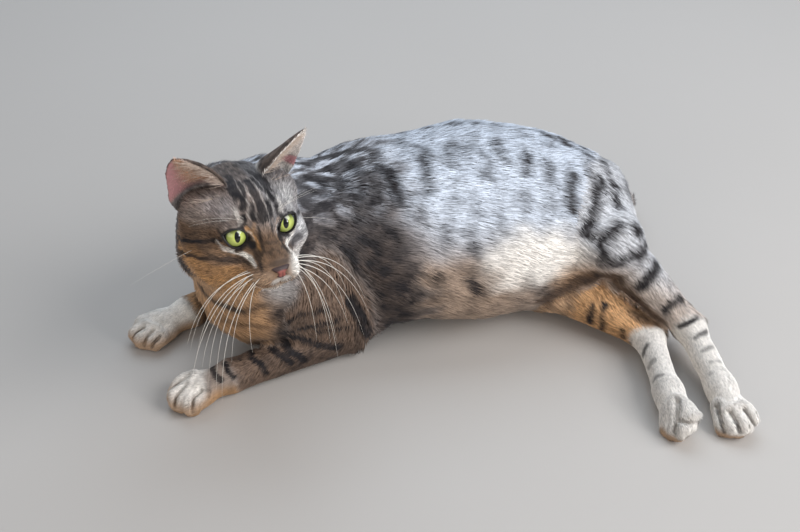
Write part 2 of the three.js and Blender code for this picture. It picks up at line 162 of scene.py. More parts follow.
def lid_edges(along):
    """The upper and the lower lid's height, in degrees, at a place between the corners."""
    x = np.clip((along - OPENING_MIDDLE) / OPENING_HALF, -1.0, 1.0)
    opened = 1.0 - x * x
    upper = CORNER_HEIGHT + 57.0 * opened**0.75
    lower = CORNER_HEIGHT - 24.0 * opened**0.55 * (1.0 - 0.45 * x)
    return upper, lower


def eye_opening(head_points):
    """Angles along and up the eye's opening, how far inside its edge, and how far from the ball's middle."""
    away = mirrored(head_points) - EYE_PLACE
    radius = np.linalg.norm(away, axis=1)
    ray = away / radius[:, None]
    flat = unit(ray - (ray @ OPENING_AXIS)[:, None] * OPENING_AXIS)
    degrees = np.degrees(np.arccos(np.clip(ray @ OPENING_AXIS, -1, 1)))
    along = degrees * (flat @ OPENING_ALONG)
    up = degrees * (flat @ OPENING_UP)
    upper, lower = lid_edges(along)
    return along, up, np.minimum(upper - up, up - lower), radius


# ---------------------------------------------------------------- meshes from and to arrays
def read_mesh(mesh):
    """A mesh's vertex places, outward normals and edges."""
    count = len(mesh.vertices)
    places = np.empty(count * 3)
    normals = np.empty(count * 3, np.float32)
    edges = np.empty(len(mesh.edges) * 2, np.int64)
    mesh.vertices.foreach_get("co", places)
    mesh.vertex_normals.foreach_get("vector", normals)
    mesh.edges.foreach_get("vertices", edges)
    return places.reshape(-1, 3), normals.reshape(-1, 3).astype(float), edges.reshape(-1, 2)


def write_places(mesh, places):
    mesh.vertices.foreach_set("co", places.astype(np.float32).ravel())
    mesh.update()


def mesh_of_triangles(name, places, triangles):
    """A mesh from an array of places and one of vertex numbers, three to a row."""
    mesh = bpy.data.meshes.new(name)
    mesh.vertices.add(len(places))
    mesh.vertices.foreach_set("co", places.astype(np.float32).ravel())
    mesh.loops.add(len(triangles) * 3)
    mesh.loops.foreach_set("vertex_index", triangles.astype(np.int32).ravel())
    mesh.polygons.add(len(triangles))
    mesh.polygons.foreach_set("loop_start", np.arange(0, len(triangles) * 3, 3, dtype=np.int32))
    mesh.update(calc_edges=True)
    return mesh


def set_floats(mesh, name, values):
    mesh.attributes.new(name, "FLOAT", "POINT").data.foreach_set("value", values.astype(np.float32))


def linked(name, data):
    """A new object in the scene."""
    item = bpy.data.objects.new(name, data)
    bpy.context.scene.collection.objects.link(item)
    return item


def shown(name, mesh, material, replaces=()):
    """A finished piece at the origin, riding on the one body."""
    piece = linked(name, mesh)
    mesh.materials.clear()
    mesh.materials.append(material)
    mesh.shade_smooth()
    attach(piece, "root")
    if replaces:
        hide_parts(*replaces)
    return piece


def modified(mesh, kind, grouped=(), **values):
    """The mesh after one modifier. Some vertices can be put in a vertex group called "grouped" for it."""
    worker = linked("worker", mesh)
    if grouped:
        worker.vertex_groups.new(name="grouped").add(grouped, 1.0, "REPLACE")
    modifier = worker.modifiers.new(kind.lower(), kind)
    for key, value in values.items():
        setattr(modifier, key, value)
    bpy.context.view_layer.update()
    result = bpy.data.meshes.new_from_object(worker.evaluated_get(bpy.context.evaluated_depsgraph_get()))
    bpy.data.objects.remove(worker)
    return result


def unit_ball(name, segments, rings, turn=Matrix.Identity(4)):
    """A ball of radius 1 with its poles on the z axis, turned."""
    ball = bmesh.new()
    bmesh.ops.create_uvsphere(ball, u_segments=segments, v_segments=rings, radius=1.0)
    bmesh.ops.rotate(ball, verts=ball.verts, matrix=turn)
    mesh = bpy.data.meshes.new(name)
    ball.to_mesh(mesh)
    ball.free()
    return mesh


# ---------------------------------------------------------------- body parts on the skin
# Per kind of part, in millimetres: how deep the skin lies under the coat's tips, and the tufts' length and
# width. `even` is how many rounds smooth the shell there.
LOOKS = {
    "head": dict(depth=1.9, length=6.2, width=0.55, even=10),
    "ear": dict(depth=0.35, length=3.0, width=0.45, even=9),
    "neck": dict(depth=4.6, length=13.0, width=1.25, even=60),
    "chest": dict(depth=4.8, length=14.0, width=1.35, even=110),
    "belly": dict(depth=5.2, length=15.0, width=1.45, even=130),
    "hips": dict(depth=5.0, length=14.0, width=1.4, even=120),
    "tail": dict(depth=3.2, length=12.0, width=1.15, even=25),
    "upper_arm": dict(depth=3.8, length=9.5, width=1.1, even=60),
    "forearm": dict(depth=2.2, length=6.0, width=0.85, even=18),
    "forepaw": dict(depth=1.1, length=4.2, width=0.65, even=22),
    "thigh": dict(depth=4.2, length=12.5, width=1.25, even=60),
    "shank": dict(depth=2.6, length=8.5, width=1.0, even=18),
    "hind_foot": dict(depth=1.1, length=4.6, width=0.7, even=26),
}


def kind_of(part):
    return part.replace("_left", "").replace("_right", "")


def part_values(key):
    """One of the looks for every flesh part."""
    return np.array([LOOKS[kind_of(part)][key] for part in FLESH], float)


def flesh_tree():
    """A search tree over the flesh nodes' faces, and each face's part."""
    corners, faces, owner = [], [], []
    for part in FLESH:
        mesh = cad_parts[part].data
        start = len(corners)
        corners.extend(vertex.co.copy() for vertex in mesh.vertices)
        faces.extend([start + index for index in polygon.vertices] for polygon in mesh.polygons)
        owner.extend([PART[part]] * len(mesh.polygons))
    return BVHTree.FromPolygons(corners, faces), owner


def nearest_parts(places):
    """The number of the flesh part nearest to each place, and the same as a column of 0 and 1 per part."""
    tree, owner = made["tree"]
    nearest = np.array([owner[tree.find_nearest(place)[2]] for place in places])
    return nearest, np.eye(len(FLESH))[nearest]


def share(shares, *kinds):
    """The summed share of some parts or kinds of part."""
    columns = [PART[part] for part in FLESH if kind_of(part) in kinds or part in kinds]
    return shares[:, columns].sum(axis=1)


# ---------------------------------------------------------------- the skin's shape
VOXEL = 1.15 * MM  # the fineness of the skin
BRIDGE = 0.35 * MM  # each part grows this far, to close the cuts between the parts
LEG_FILL = Vector((0.157, -0.035, 0.047))  # where the hind legs press together as they leave the belly
LEG_FILL_RADIUS = 9 * MM
SKIN_CLEARANCE = 0.4 * MM  # the skin keeps this far above the floor
TUFT_CLEARANCE = 0.3 * MM
TOE_RISE = 1.4  # in millimetres, as is the depth of the gaps
TOE_GAP_DEPTH = 2.4
PAD_RISE = 0.9  # in the head's units, as are the next two
LID_THICKNESS = 0.75
SOCKET_DEPTH = 3.0
EVEN_ROUNDS = (3, 10, 18, 25, 60, 110)  # broad parts are evened out for more rounds than small ones
KEPT_FACES = 0.36  # the share of the skin's faces that is kept under the coat


def joined_flesh():
    """One mesh of every flesh node, grown enough to meet, with the eyes and nose filling their sockets."""
    joined = bmesh.new()
    for name in (*FLESH, *SEPARATE):
        piece = bmesh.new()
        piece.from_mesh(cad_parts[name].data)
        bmesh.ops.remove_doubles(piece, verts=piece.verts, dist=0.001 * MM)
        piece.normal_update()
        for vertex in piece.verts:
            vertex.co += vertex.normal * BRIDGE
        copy = bpy.data.meshes.new(name + "_copy")
        piece.to_mesh(copy)
        piece.free()
        joined.from_mesh(copy)
        bpy.data.meshes.remove(copy)
    place = Matrix.Translation(LEG_FILL)
    bmesh.ops.create_icosphere(joined, subdivisions=2, radius=LEG_FILL_RADIUS, matrix=place)
    mesh = bpy.data.meshes.new("flesh")
    joined.to_mesh(mesh)
    joined.free()
    return mesh


def shape_lids(head):
    """Draws the skin over the eyeball as lids with a slanting opening."""
    along, up, inside, radius = eye_opening(head)
    beyond = np.abs(along - OPENING_MIDDLE) - OPENING_HALF
    inside = np.where(beyond < 0, inside, -np.hypot(beyond, up - CORNER_HEIGHT))
    close = ramp(20.0, 13.0, radius) * (mirrored(head)[:, 0] > 8.0)
    lid = EYE_RADIUS + LID_THICKNESS + 0.02 * np.clip(-inside, 0, 40)
    sunk = EYE_RADIUS - SOCKET_DEPTH
    blend = ramp(-34.0, -5.0, inside) * close
    target = np.where(inside > 0, sunk, lid)
    target = np.where((inside <= 0) & (radius > lid), radius + (lid - radius) * blend, target)
    blend = np.where(inside > 0, close, np.where(radius > lid, 1.0, close))
    side = np.where(head[:, 1] >= 0, 1.0, -1.0)[:, None] * [0, 1, 0] + [1, 0, 1]
    centre = EYE_PLACE * side
    away = head - centre
    moved = centre + away * (1 + blend * (target / radius - 1))[:, None]
    return np.where((close > 0)[:, None], moved, head)


MOUTH = [(45.5, 0, -26.6), (43, 5, -28.3), (38, 10, -29.6), (31, 14.5, -29.0), (24, 18, -27.0)]
PHILTRUM = [(52, 0, -21), (47, 0, -26.6)]


def carve_face(head, normals):
    """The mouth's line, the groove under the nose and the fuller whisker pads."""
    folded = mirrored(head)
    pads = near_oval(folded, (45, 8.5, -19), (9, 8, 7), 0.5)
    head = head + normals * (PAD_RISE * pads)[:, None]
    groove = np.maximum(near_line(folded, MOUTH, 2.0) * 1.5, near_line(folded, PHILTRUM, 1.7) * 1.0)
    chin = near_oval(folded, (38, 0, -33), (9, 8, 5), 0.5)
    return head + normals * (0.6 * chin - groove)[:, None]


# The gaps between the toes, in millimetres in the part's frame.
TOE_GAPS = {
    "forepaw_left": [
        [(-195, -131, 20), (-201, -139, 16), (-203, -146, 8), (-204, -148, 2)],
        [(-181, -136, 19), (-187, -142, 17), (-188, -150, 10), (-188, -152, 2)],
        [(-193, -120, 21), (-199, -124, 19), (-209, -131, 12), (-212, -133, 3)],
    ],
    "forepaw_right": [
        [(-233, -62, 18), (-237, -67, 16), (-241, -71, 8), (-242, -72, 2)],
        [(-227, -67, 15), (-232, -72, 12), (-235, -74, 5), (-235, -74, 1)],
        [(-241, -58, 18), (-248, -63, 14), (-252, -65, 6), (-253, -66, 1)],
    ],
    "hind_foot_right": [
        [(193, -152, 24), (192, -160, 23), (190, -169, 18), (188, -176, 10), (187, -178, 2)],
        [(191, -169, 19), (198, -172, 20), (205, -171, 20), (212, -170, 16)],
    ],
    "hind_foot_left": [
        [(225, -151, 16), (226, -164, 14), (228, -171, 9), (228, -174, 2)],
        [(233, -159, 19), (237, -168, 16), (239, -176, 11), (240, -179, 2)],
        [(244, -158, 20), (248, -167, 18), (253, -169, 11), (254, -171, 3)],
    ],
}


def toe_measures(places, shares):
    """How much each vertex lies in a gap between two toes, and how much on a toe, from 0 to 1."""
    gaps = np.zeros(len(places))
    toes = np.zeros(len(places))
    for paw, lines in TOE_GAPS.items():
        owned = ramp(0.3, 0.7, shares[:, PART[paw]])
        reach = np.min([line_distance(places / MM, line) for line in lines], axis=0)
        gaps = np.maximum(gaps, owned * ramp(2.2, 0.7, reach))
        toes = np.maximum(toes, owned * ramp(1.4, 4.4, reach) * ramp(9.5, 6.0, reach))
    return gaps, toes


def build_skin_mesh():
    """The shell of the flesh, evened out, drawn in by the coat's depth and sculpted."""
    made["tree"] = flesh_tree()
    shell = modified(joined_flesh(), "REMESH", mode="VOXEL", voxel_size=VOXEL)
    places, normals, edges = read_mesh(shell)
    nearest, owned = nearest_parts(places)
    on_ear = np.isin(nearest, [PART["ear_left"], PART["ear_right"]]) * 1.0
    looks = np.stack([part_values(key)[nearest] for key in ("depth", "even")], axis=1)
    near_ear = spread(on_ear, edges, 8)
    close_looks = spread(looks, edges, 8)
    looks = spread(looks, edges, 70)
    looks = looks + ramp(0.02, 0.35, near_ear) * (close_looks - looks)
    smooth = places
    done = 0
    for rounds in EVEN_ROUNDS:
        active = ramp(done, rounds, looks[:, 1])
        smooth = spread(smooth, edges, rounds - done, 0.5 * active)
        done = rounds
    # Evening draws the form in. What it lost on average is given back.
    lost = ((places - smooth) * normals).sum(axis=1)
    lost = spread(lost, edges, 50) * (1 - near_ear) + spread(lost, edges, 12) * near_ear * 0.9
    write_places(shell, smooth + normals * lost)
    places, normals, edges = read_mesh(shell)
    resting = ramp(14.0, 2.0, places[:, 2] / MM) * ramp(-0.2, -0.8, normals[:, 2])
    depth = looks[:, 0] * (1 - 0.85 * resting)
    places = places - normals * (depth * MM)[:, None]
    gaps, toes = toe_measures(places, owned)
    places = places + normals * ((TOE_RISE * toes - TOE_GAP_DEPTH * gaps) * MM)[:, None]
    head = to_head(places)
    facing = normals @ HEAD_AXES.T
    carved = shape_lids(carve_face(head, facing))
    front = (head[:, 0] > 6) & (nearest == PART["head"])
    places = np.where(front[:, None], from_head(carved), places)
    places[:, 2] = np.maximum(places[:, 2], SKIN_CLEARANCE)
    write_places(shell, places)
    return thinned(shell, nearest)


def thinned(shell, nearest):
    """Fewer faces where the coat covers the form, and all of them on the face, ears and paws."""
    fine = [PART[part] for part in FLESH if kind_of(part) in ("head", "ear", "forepaw", "hind_foot")]
    coarse = np.flatnonzero(~np.isin(nearest, fine)).tolist()
    group = dict(vertex_group="grouped", vertex_group_factor=10.0)
    result = modified(shell, "DECIMATE", coarse, ratio=KEPT_FACES, **group)
    result.name = "skin"
    return result


# ---------------------------------------------------------------- the lie of the coat
TAIL_LINE = [(152, 79, 62), (178, 103, 40), (198, 131, 16), (182, 159, 10), (134, 169, 9), (80, 164, 8)]
TAIL_LINE = np.array([*TAIL_LINE, (34, 158, 7)]) * MM
NOSE_TOP = np.array([56.0, 0.0, -12.0])  # the hair of the face runs away from here, in the head's frame


def part_flow():
    """The way the hair lies on each part, towards the next part of its chain."""
    middle = {name: centre_of(name) for name in FLESH}
    flow = {
        "neck": middle["belly"] - middle["head"] + np.array([0, 0, -0.03]),
        "chest": np.array([1.0, 0.05, -0.45]),
        "belly": np.array([1.0, -0.1, -0.3]),
        "hips": np.array([1.0, 0.0, -0.35]),
        "tail": np.array([1.0, 0.6, -0.5]),
        "head": np.array([-0.5, 0.9, 0.1]),
    }
    for side in ("_left", "_right"):
        forearm, shank, foot = (middle[kind + side] for kind in ("forearm", "shank", "hind_foot"))
        arm = middle["forepaw" + side] - middle["upper_arm" + side]
        flow["ear" + side] = np.array([0.0, 0.2 if side == "_left" else -0.2, 1.0]) @ HEAD_AXES
        flow["upper_arm" + side] = unit(forearm - middle["chest"]) + np.array([0.2, 0, -0.6])
        flow["forearm" + side] = arm
        flow["forepaw" + side] = arm
        flow["thigh" + side] = unit(shank - middle["hips"]) + np.array([0.5, -0.2, -0.2])
        flow["shank" + side] = unit(foot - middle["thigh" + side])
        flow["hind_foot" + side] = foot - shank
    return unit(np.array([flow[part] for part in FLESH]))


def face_flow(head):
    """On the head the hair runs back from the nose, up over the brow and out over the cheeks."""
    away = (head - NOSE_TOP) * [1.0, 1.15, 1.0]
    under = ramp(-20, -34, head[:, 2])[:, None]
    return unit(away + under * [-10, 0, -10])


def coat_flow(places, normals, shares):
    """The unit direction of the hair at each vertex, lying in the surface."""
    flow = shares @ part_flow()
    head = to_head(places)
    on_head = share(shares, "head")[:, None]
    flow = flow * (1 - on_head) + on_head * face_flow(head) @ HEAD_AXES
    reach = np.linalg.norm(places[:, None] - TAIL_LINE[None], axis=2)
    step = np.diff(TAIL_LINE, axis=0)
    tail_way = unit(np.vstack([step, step[-1:]]))[np.argmin(reach, axis=1)]
    on_tail = ramp(0.4, 0.9, share(shares, "tail"))[:, None]
    flow = flow * (1 - on_tail) + on_tail * tail_way
    flow = flow - (flow * normals).sum(axis=1, keepdims=True) * normals
    return unit(flow)


# ---------------------------------------------------------------- markings
# Lines of the face on its left side, in the head's frame, each with its half width and strength. First the
# dark lines from the eye's corners and down the cheek.
FACE_DARK = [
    ([(23, 27.5, 4), (17, 31, 1), (11, 35.4, -1), (-2.3, 42, -5.3), (-18, 43, -11)], 2.3, 1.0),
    ([(36, 16.5, -9.5), (31, 21.5, -10.5), (26.5, 28, -9.5), (19, 34, -8)], 2.7, 0.85),
    ([(19, 34, -9.5), (6, 41.6, -12), (-8, 44, -17), (-20, 44, -24)], 2.0, 0.9),
    ([(31, 5, 10.5), (35.3, 5.4, 4), (39.5, 7.4, -2.2), (37, 9.6, -5)], 1.3, 0.85),
    ([(33, 10.8, -2.5), (37.5, 10.8, -5.5), (41, 11, -9)], 2.1, 0.9),
]
# The stripes of the forehead.
FOREHEAD_DARK = [
    ([(26, 12, 18.6), (27.8, 14.3, 12.5)], 1.4, 0.9),
    ([(29.6, 6.5, 14.5), (26.7, 7.4, 19.9), (23.5, 6.0, 23.6)], 1.6, 0.9),
    ([(22.6, 11, 22.6), (19, 9.2, 26.6), (13, 6.2, 30.4), (6, 5.0, 32)], 1.9, 0.9),
    ([(16.1, 11.5, 27.5), (10.4, 9.3, 30.2), (4, 8, 32), (-6, 8, 33)], 1.9, 0.85),
    ([(28.5, 5.0, 17.2), (25.3, 5.6, 21.6)], 1.2, 0.8),
    ([(30.8, 0.8, 14.5), (27.7, 0.6, 19.7), (22, 0.0, 25.7), (16, 0, 29.4), (6, 0, 32)], 2.1, 0.9),
    ([(31, 3.2, 13), (28.5, 2.6, 18)], 0.9, 0.7),
    ([(11, 14, 28), (4, 14, 30.5)], 1.4, 0.6),
    ([(17, 14, 25), (8, 12, 30), (0, 11, 32.5)], 1.2, 0.7),
]
# The pale streaks under and over the eye, and between the stripes of the forehead.
FACE_PALE = [
    ([(18, 29.2, 1.2), (23.9, 26, -2.8), (27.3, 22.2, -5), (31.1, 17.8, -6.3), (37.5, 14, -8)], 1.8, 0.95),
    ([(27.5, 22, 10.8), (29.8, 16.4, 9.6), (31.4, 11, 6.5), (31.8, 9.6, 1.5), (33.4, 10.2, -2.4)], 1.0, 0.5),
    ([(21.3, 16.4, 21.6), (24.3, 16.0, 18.6), (26.8, 15.2, 15)], 2.6, 0.6),
    ([(19.7, 7.6, 26.6), (23.6, 7.2, 23.4), (26, 8.9, 20), (28.2, 9.3, 16)], 0.9, 0.5),
    ([(3.6, 3.4, 32.8), (11, 4.0, 31), (17.5, 3.6, 28.6), (22.9, 3.6, 24.8), (29, 4.2, 16.5)], 0.7, 0.38),
    ([(0, 6.5, 33), (10, 7.4, 31), (16, 8.0, 28.4)], 0.7, 0.35),
]
# The tan stroke between the eye and the bridge of the nose.
FACE_TAN = [
    ([(27.9, 11.9, 10.2), (30.2, 9.9, 6.2), (32.0, 8.3, 2.4), (36.1, 8.3, -1.8)], 1.5, 1.0),
    ([(29.5, 6.5, 12.5), (31, 8.5, 8.5)], 1.6, 0.6),
]
# Spots of the trunk: how far along it, in millimetres, and how far round from the spine, in degrees, with
# the half width in millimetres and the strength.
TRUNK_SPOTS = [
    ([(99, 40), (101, 58)], 4.0, 0.8),
    ([(81, 33), (82, 53)], 4.0, 0.7),
    ([(121, 45), (117, 64), (120, 82)], 5.0, 0.95),
    ([(147, 36), (139, 74), (129, 98)], 4.6, 1.0),
    ([(185, 112), (172, 111), (156, 116)], 4.8, 1.0),
    ([(156, 90), (147, 98), (139, 104), (142, 116)], 4.6, 1.0),
    ([(163, 64), (160, 73)], 4.0, 0.9),
    ([(172, 93), (177, 99)], 3.6, 0.9),
    ([(153, 59), (166, 50)], 3.2, 0.9),
    ([(168, 30), (160, 40)], 4.2, 0.9),
    ([(49, 43), (50, 58)], 3.8, 0.55),
    ([(58, 26), (62, 46)], 4.0, 0.6),
    ([(27, 30), (31, 44)], 4.4, 0.65),
    ([(14, 31), (16, 49)], 4.2, 0.6),
    ([(-9, 31), (-3, 58), (0, 68)], 4.6, 0.75),
    ([(-30, 20), (-27, 30)], 4.6, 0.7),
    ([(-44, 53), (-36, 55), (-29, 66), (-25, 78)], 5.4, 1.0),
    ([(-48, 36), (-45, 46)], 5.0, 0.9),
    ([(-72, 44), (-66, 50)], 5.6, 1.0),
    ([(-60, 50), (-62, 58)], 5.0, 1.0),
    ([(-88, 62), (-84, 74)], 5.6, 1.0),
    ([(-73, 62), (-70, 70)], 4.8, 1.0),
    ([(-58, 68), (-56, 80)], 5.4, 1.0),
    ([(-10, 74), (-8, 88)], 3.2, 0.55),
    ([(22, 72), (25, 77)], 3.6, 0.4),
    ([(13, 91), (17, 99)], 3.6, 0.55),
    ([(29, 93), (34, 95)], 3.2, 0.5),
    ([(38, 83), (42, 86)], 3.2, 0.4),
    ([(59, 87), (63, 96)], 3.6, 0.5),
    ([(34, 103), (39, 110)], 4.2, 0.7),
    ([(33, 114), (37, 128)], 4.4, 0.7),
    ([(47, 122), (46, 130)], 4.0, 0.5),
    ([(82, 124), (93, 138)], 5.0, 0.6),
    ([(8, 118), (4, 132)], 4.4, 0.6),
    ([(66, 68), (68, 76)], 3.4, 0.35),
    ([(78, 70), (79, 80)], 3.4, 0.35),
    ([(105, 74), (106, 84)], 3.6, 0.4),
    ([(96, 0), (122, 4), (152, 6)], 5.0, 0.55),
    ([(-30, 0), (20, 2), (70, 0)], 4.0, 0.45),
]
# Bars of the legs, as lines in millimetres in the part's frame.
LEG_BARS = [
    ([(184, -22, 80), (172, -38, 84), (156, -49, 82)], 4.6, 1.0),
    ([(194, -36, 72), (186, -49, 68), (174, -57, 58)], 6.2, 1.0),
    ([(212, -58, 50), (204, -64, 50), (195, -67, 42)], 4.6, 1.0),
    ([(224, -70, 40), (215, -75, 38), (208, -74, 33)], 2.8, 1.0),
    ([(233, -77, 33), (226, -84, 34), (219, -88, 30)], 2.4, 0.8),
    ([(234, -96, 29), (228, -99, 31), (222, -101, 28)], 2.2, 0.6),
    ([(236, -110, 27), (227, -111, 28)], 2.0, 0.5),
    ([(237, -120, 27), (224, -122, 23)], 2.2, 0.35),
    ([(225, -150, 19), (226, -157, 15)], 2.4, 0.55),
    ([(139, -53, 36), (136, -53, 16)], 4.0, 1.0),
    ([(150, -53, 38), (148, -58, 22), (148, -56, 10)], 3.4, 1.0),
    ([(163, -66, 22), (164, -66, 10)], 3.0, 0.9),
    ([(172, -71, 16), (171, -70, 8)], 2.4, 0.8),
    ([(181, -87, 24), (178, -92, 16)], 3.0, 0.8),
    ([(184, -105, 24), (180, -107, 16)], 2.6, 0.5),
    ([(185, -122, 24), (180, -125, 17)], 2.6, 0.55),
    ([(192, -150, 25), (195, -156, 23)], 2.6, 0.5),
]
# Painted shade along the fold between the belly, the haunch and the far hind leg.
FOLD_SHADE_LINE = [(98, -44, 34), (112, -43, 43), (124, -41, 52), (137, -43, 61), (150, -47, 63)]
FOLD_SHADE_LINE += [(162, -46, 56), (171, -53, 46), (182, -60, 34), (192, -66, 27)]
# Bars of the left foreleg, and of the shoulder above it.
ARM_BARS = [
    ([(-176, -113, 24), (-171, -124, 23), (-167, -127, 22)], 2.4, 0.85),
    ([(-165, -112, 28), (-161, -121, 26), (-157, -124, 23)], 1.9, 0.8),
    ([(-154, -98, 28), (-153, -109, 28)], 1.3, 0.5),
    ([(-146, -98, 28), (-144, -108, 29), (-136, -112, 26), (-132, -114, 18)], 2.3, 0.85),
    ([(-140, -89, 29), (-138, -99, 30)], 1.4, 0.6),
    ([(-132, -92, 33), (-126, -101, 31), (-117, -105, 26), (-112, -106, 20)], 2.8, 1.0),
    ([(-121, -91, 33), (-113, -101, 29), (-104, -101, 23), (-101, -100, 18)], 2.6, 0.95),
    ([(-124, -101, 47), (-106, -96, 38), (-92, -93, 29), (-73, -89, 21)], 2.3, 1.0),
    ([(-120, -101, 48), (-101, -97, 49), (-81, -91, 50), (-74, -87, 50)], 2.1, 0.9),
    ([(-91, -92, 41), (-78, -90, 41), (-63, -84, 40)], 1.6, 0.7),
    ([(-115, -105, 61), (-104, -104, 70), (-90, -94, 65), (-81, -90, 64)], 1.8, 0.75),
    ([(-63, -80, 66), (-56, -80, 47), (-49, -79, 28)], 4.6, 0.8),
]
# Necklaces round the throat.
NECK_LINES = [
    ([(-178, -66, 122), (-182, -84, 104), (-176, -106, 92), (-162, -115, 90), (-148, -116, 83)], 3.6, 0.95),
    ([(-148, -116, 83), (-138, -116, 84), (-126, -112, 92), (-116, -100, 104)], 3.2, 0.7),
    ([(-176, -84, 76), (-166, -104, 68), (-150, -112, 62), (-132, -110, 60)], 3.4, 0.5),
    ([(-136, -124, 108), (-126, -117, 106)], 3.2, 0.6),
]


def marks(points, lines, wider=1.0):
    """The strongest of some marks at each point."""
    found = np.zeros(len(points))
    for line, width, strength in lines:
        found = np.maximum(found, strength * near_line(points, line, width * wider))
    return found


FACE_MIDDLE = np.array([2.0, 0.0, 0.0])  # inside the skull, where the lines of the face are looked at from


def face_marks(points, lines, wider=1.1):
    """The strongest of some marks of the face, measured along the head whatever the depth of the points."""
    away = points - FACE_MIDDLE
    reach = np.linalg.norm(away, axis=1)
    found = np.zeros(len(points))
    for line, width, strength in lines:
        rays = unit(np.array(line, float) - FACE_MIDDLE)
        found = np.maximum(found, strength * near_line(away / reach[:, None], rays, wider * width / reach))
    return found


def bands(value):
    """1 at whole numbers and 0 halfway between them."""
    return 0.5 + 0.5 * np.cos(2 * math.pi * value)


SPINE = np.array([0.52, 0.855])  # the way from the trunk's middle line to its spine, in y and z
TRUNK_MIDDLE = np.array([25.0, 73.0])
DEGREE = 1.3  # how many millimetres of the flank one degree round the trunk covers
BETWEEN_PAWS = -220  # the far forepaw lies beyond this x and the near one before it, in millimetres


def round_trunk(points):
    """The angle round the trunk from its spine, in degrees, and 1 on the left flank or -1 on the right."""
    away = points[:, 1:] - TRUNK_MIDDLE
    side = away @ np.array([-SPINE[1], SPINE[0]])
    angle = np.degrees(np.arctan2(side, away @ SPINE))
    return np.abs(angle), np.where(angle >= 0, 1.0, -1.0)


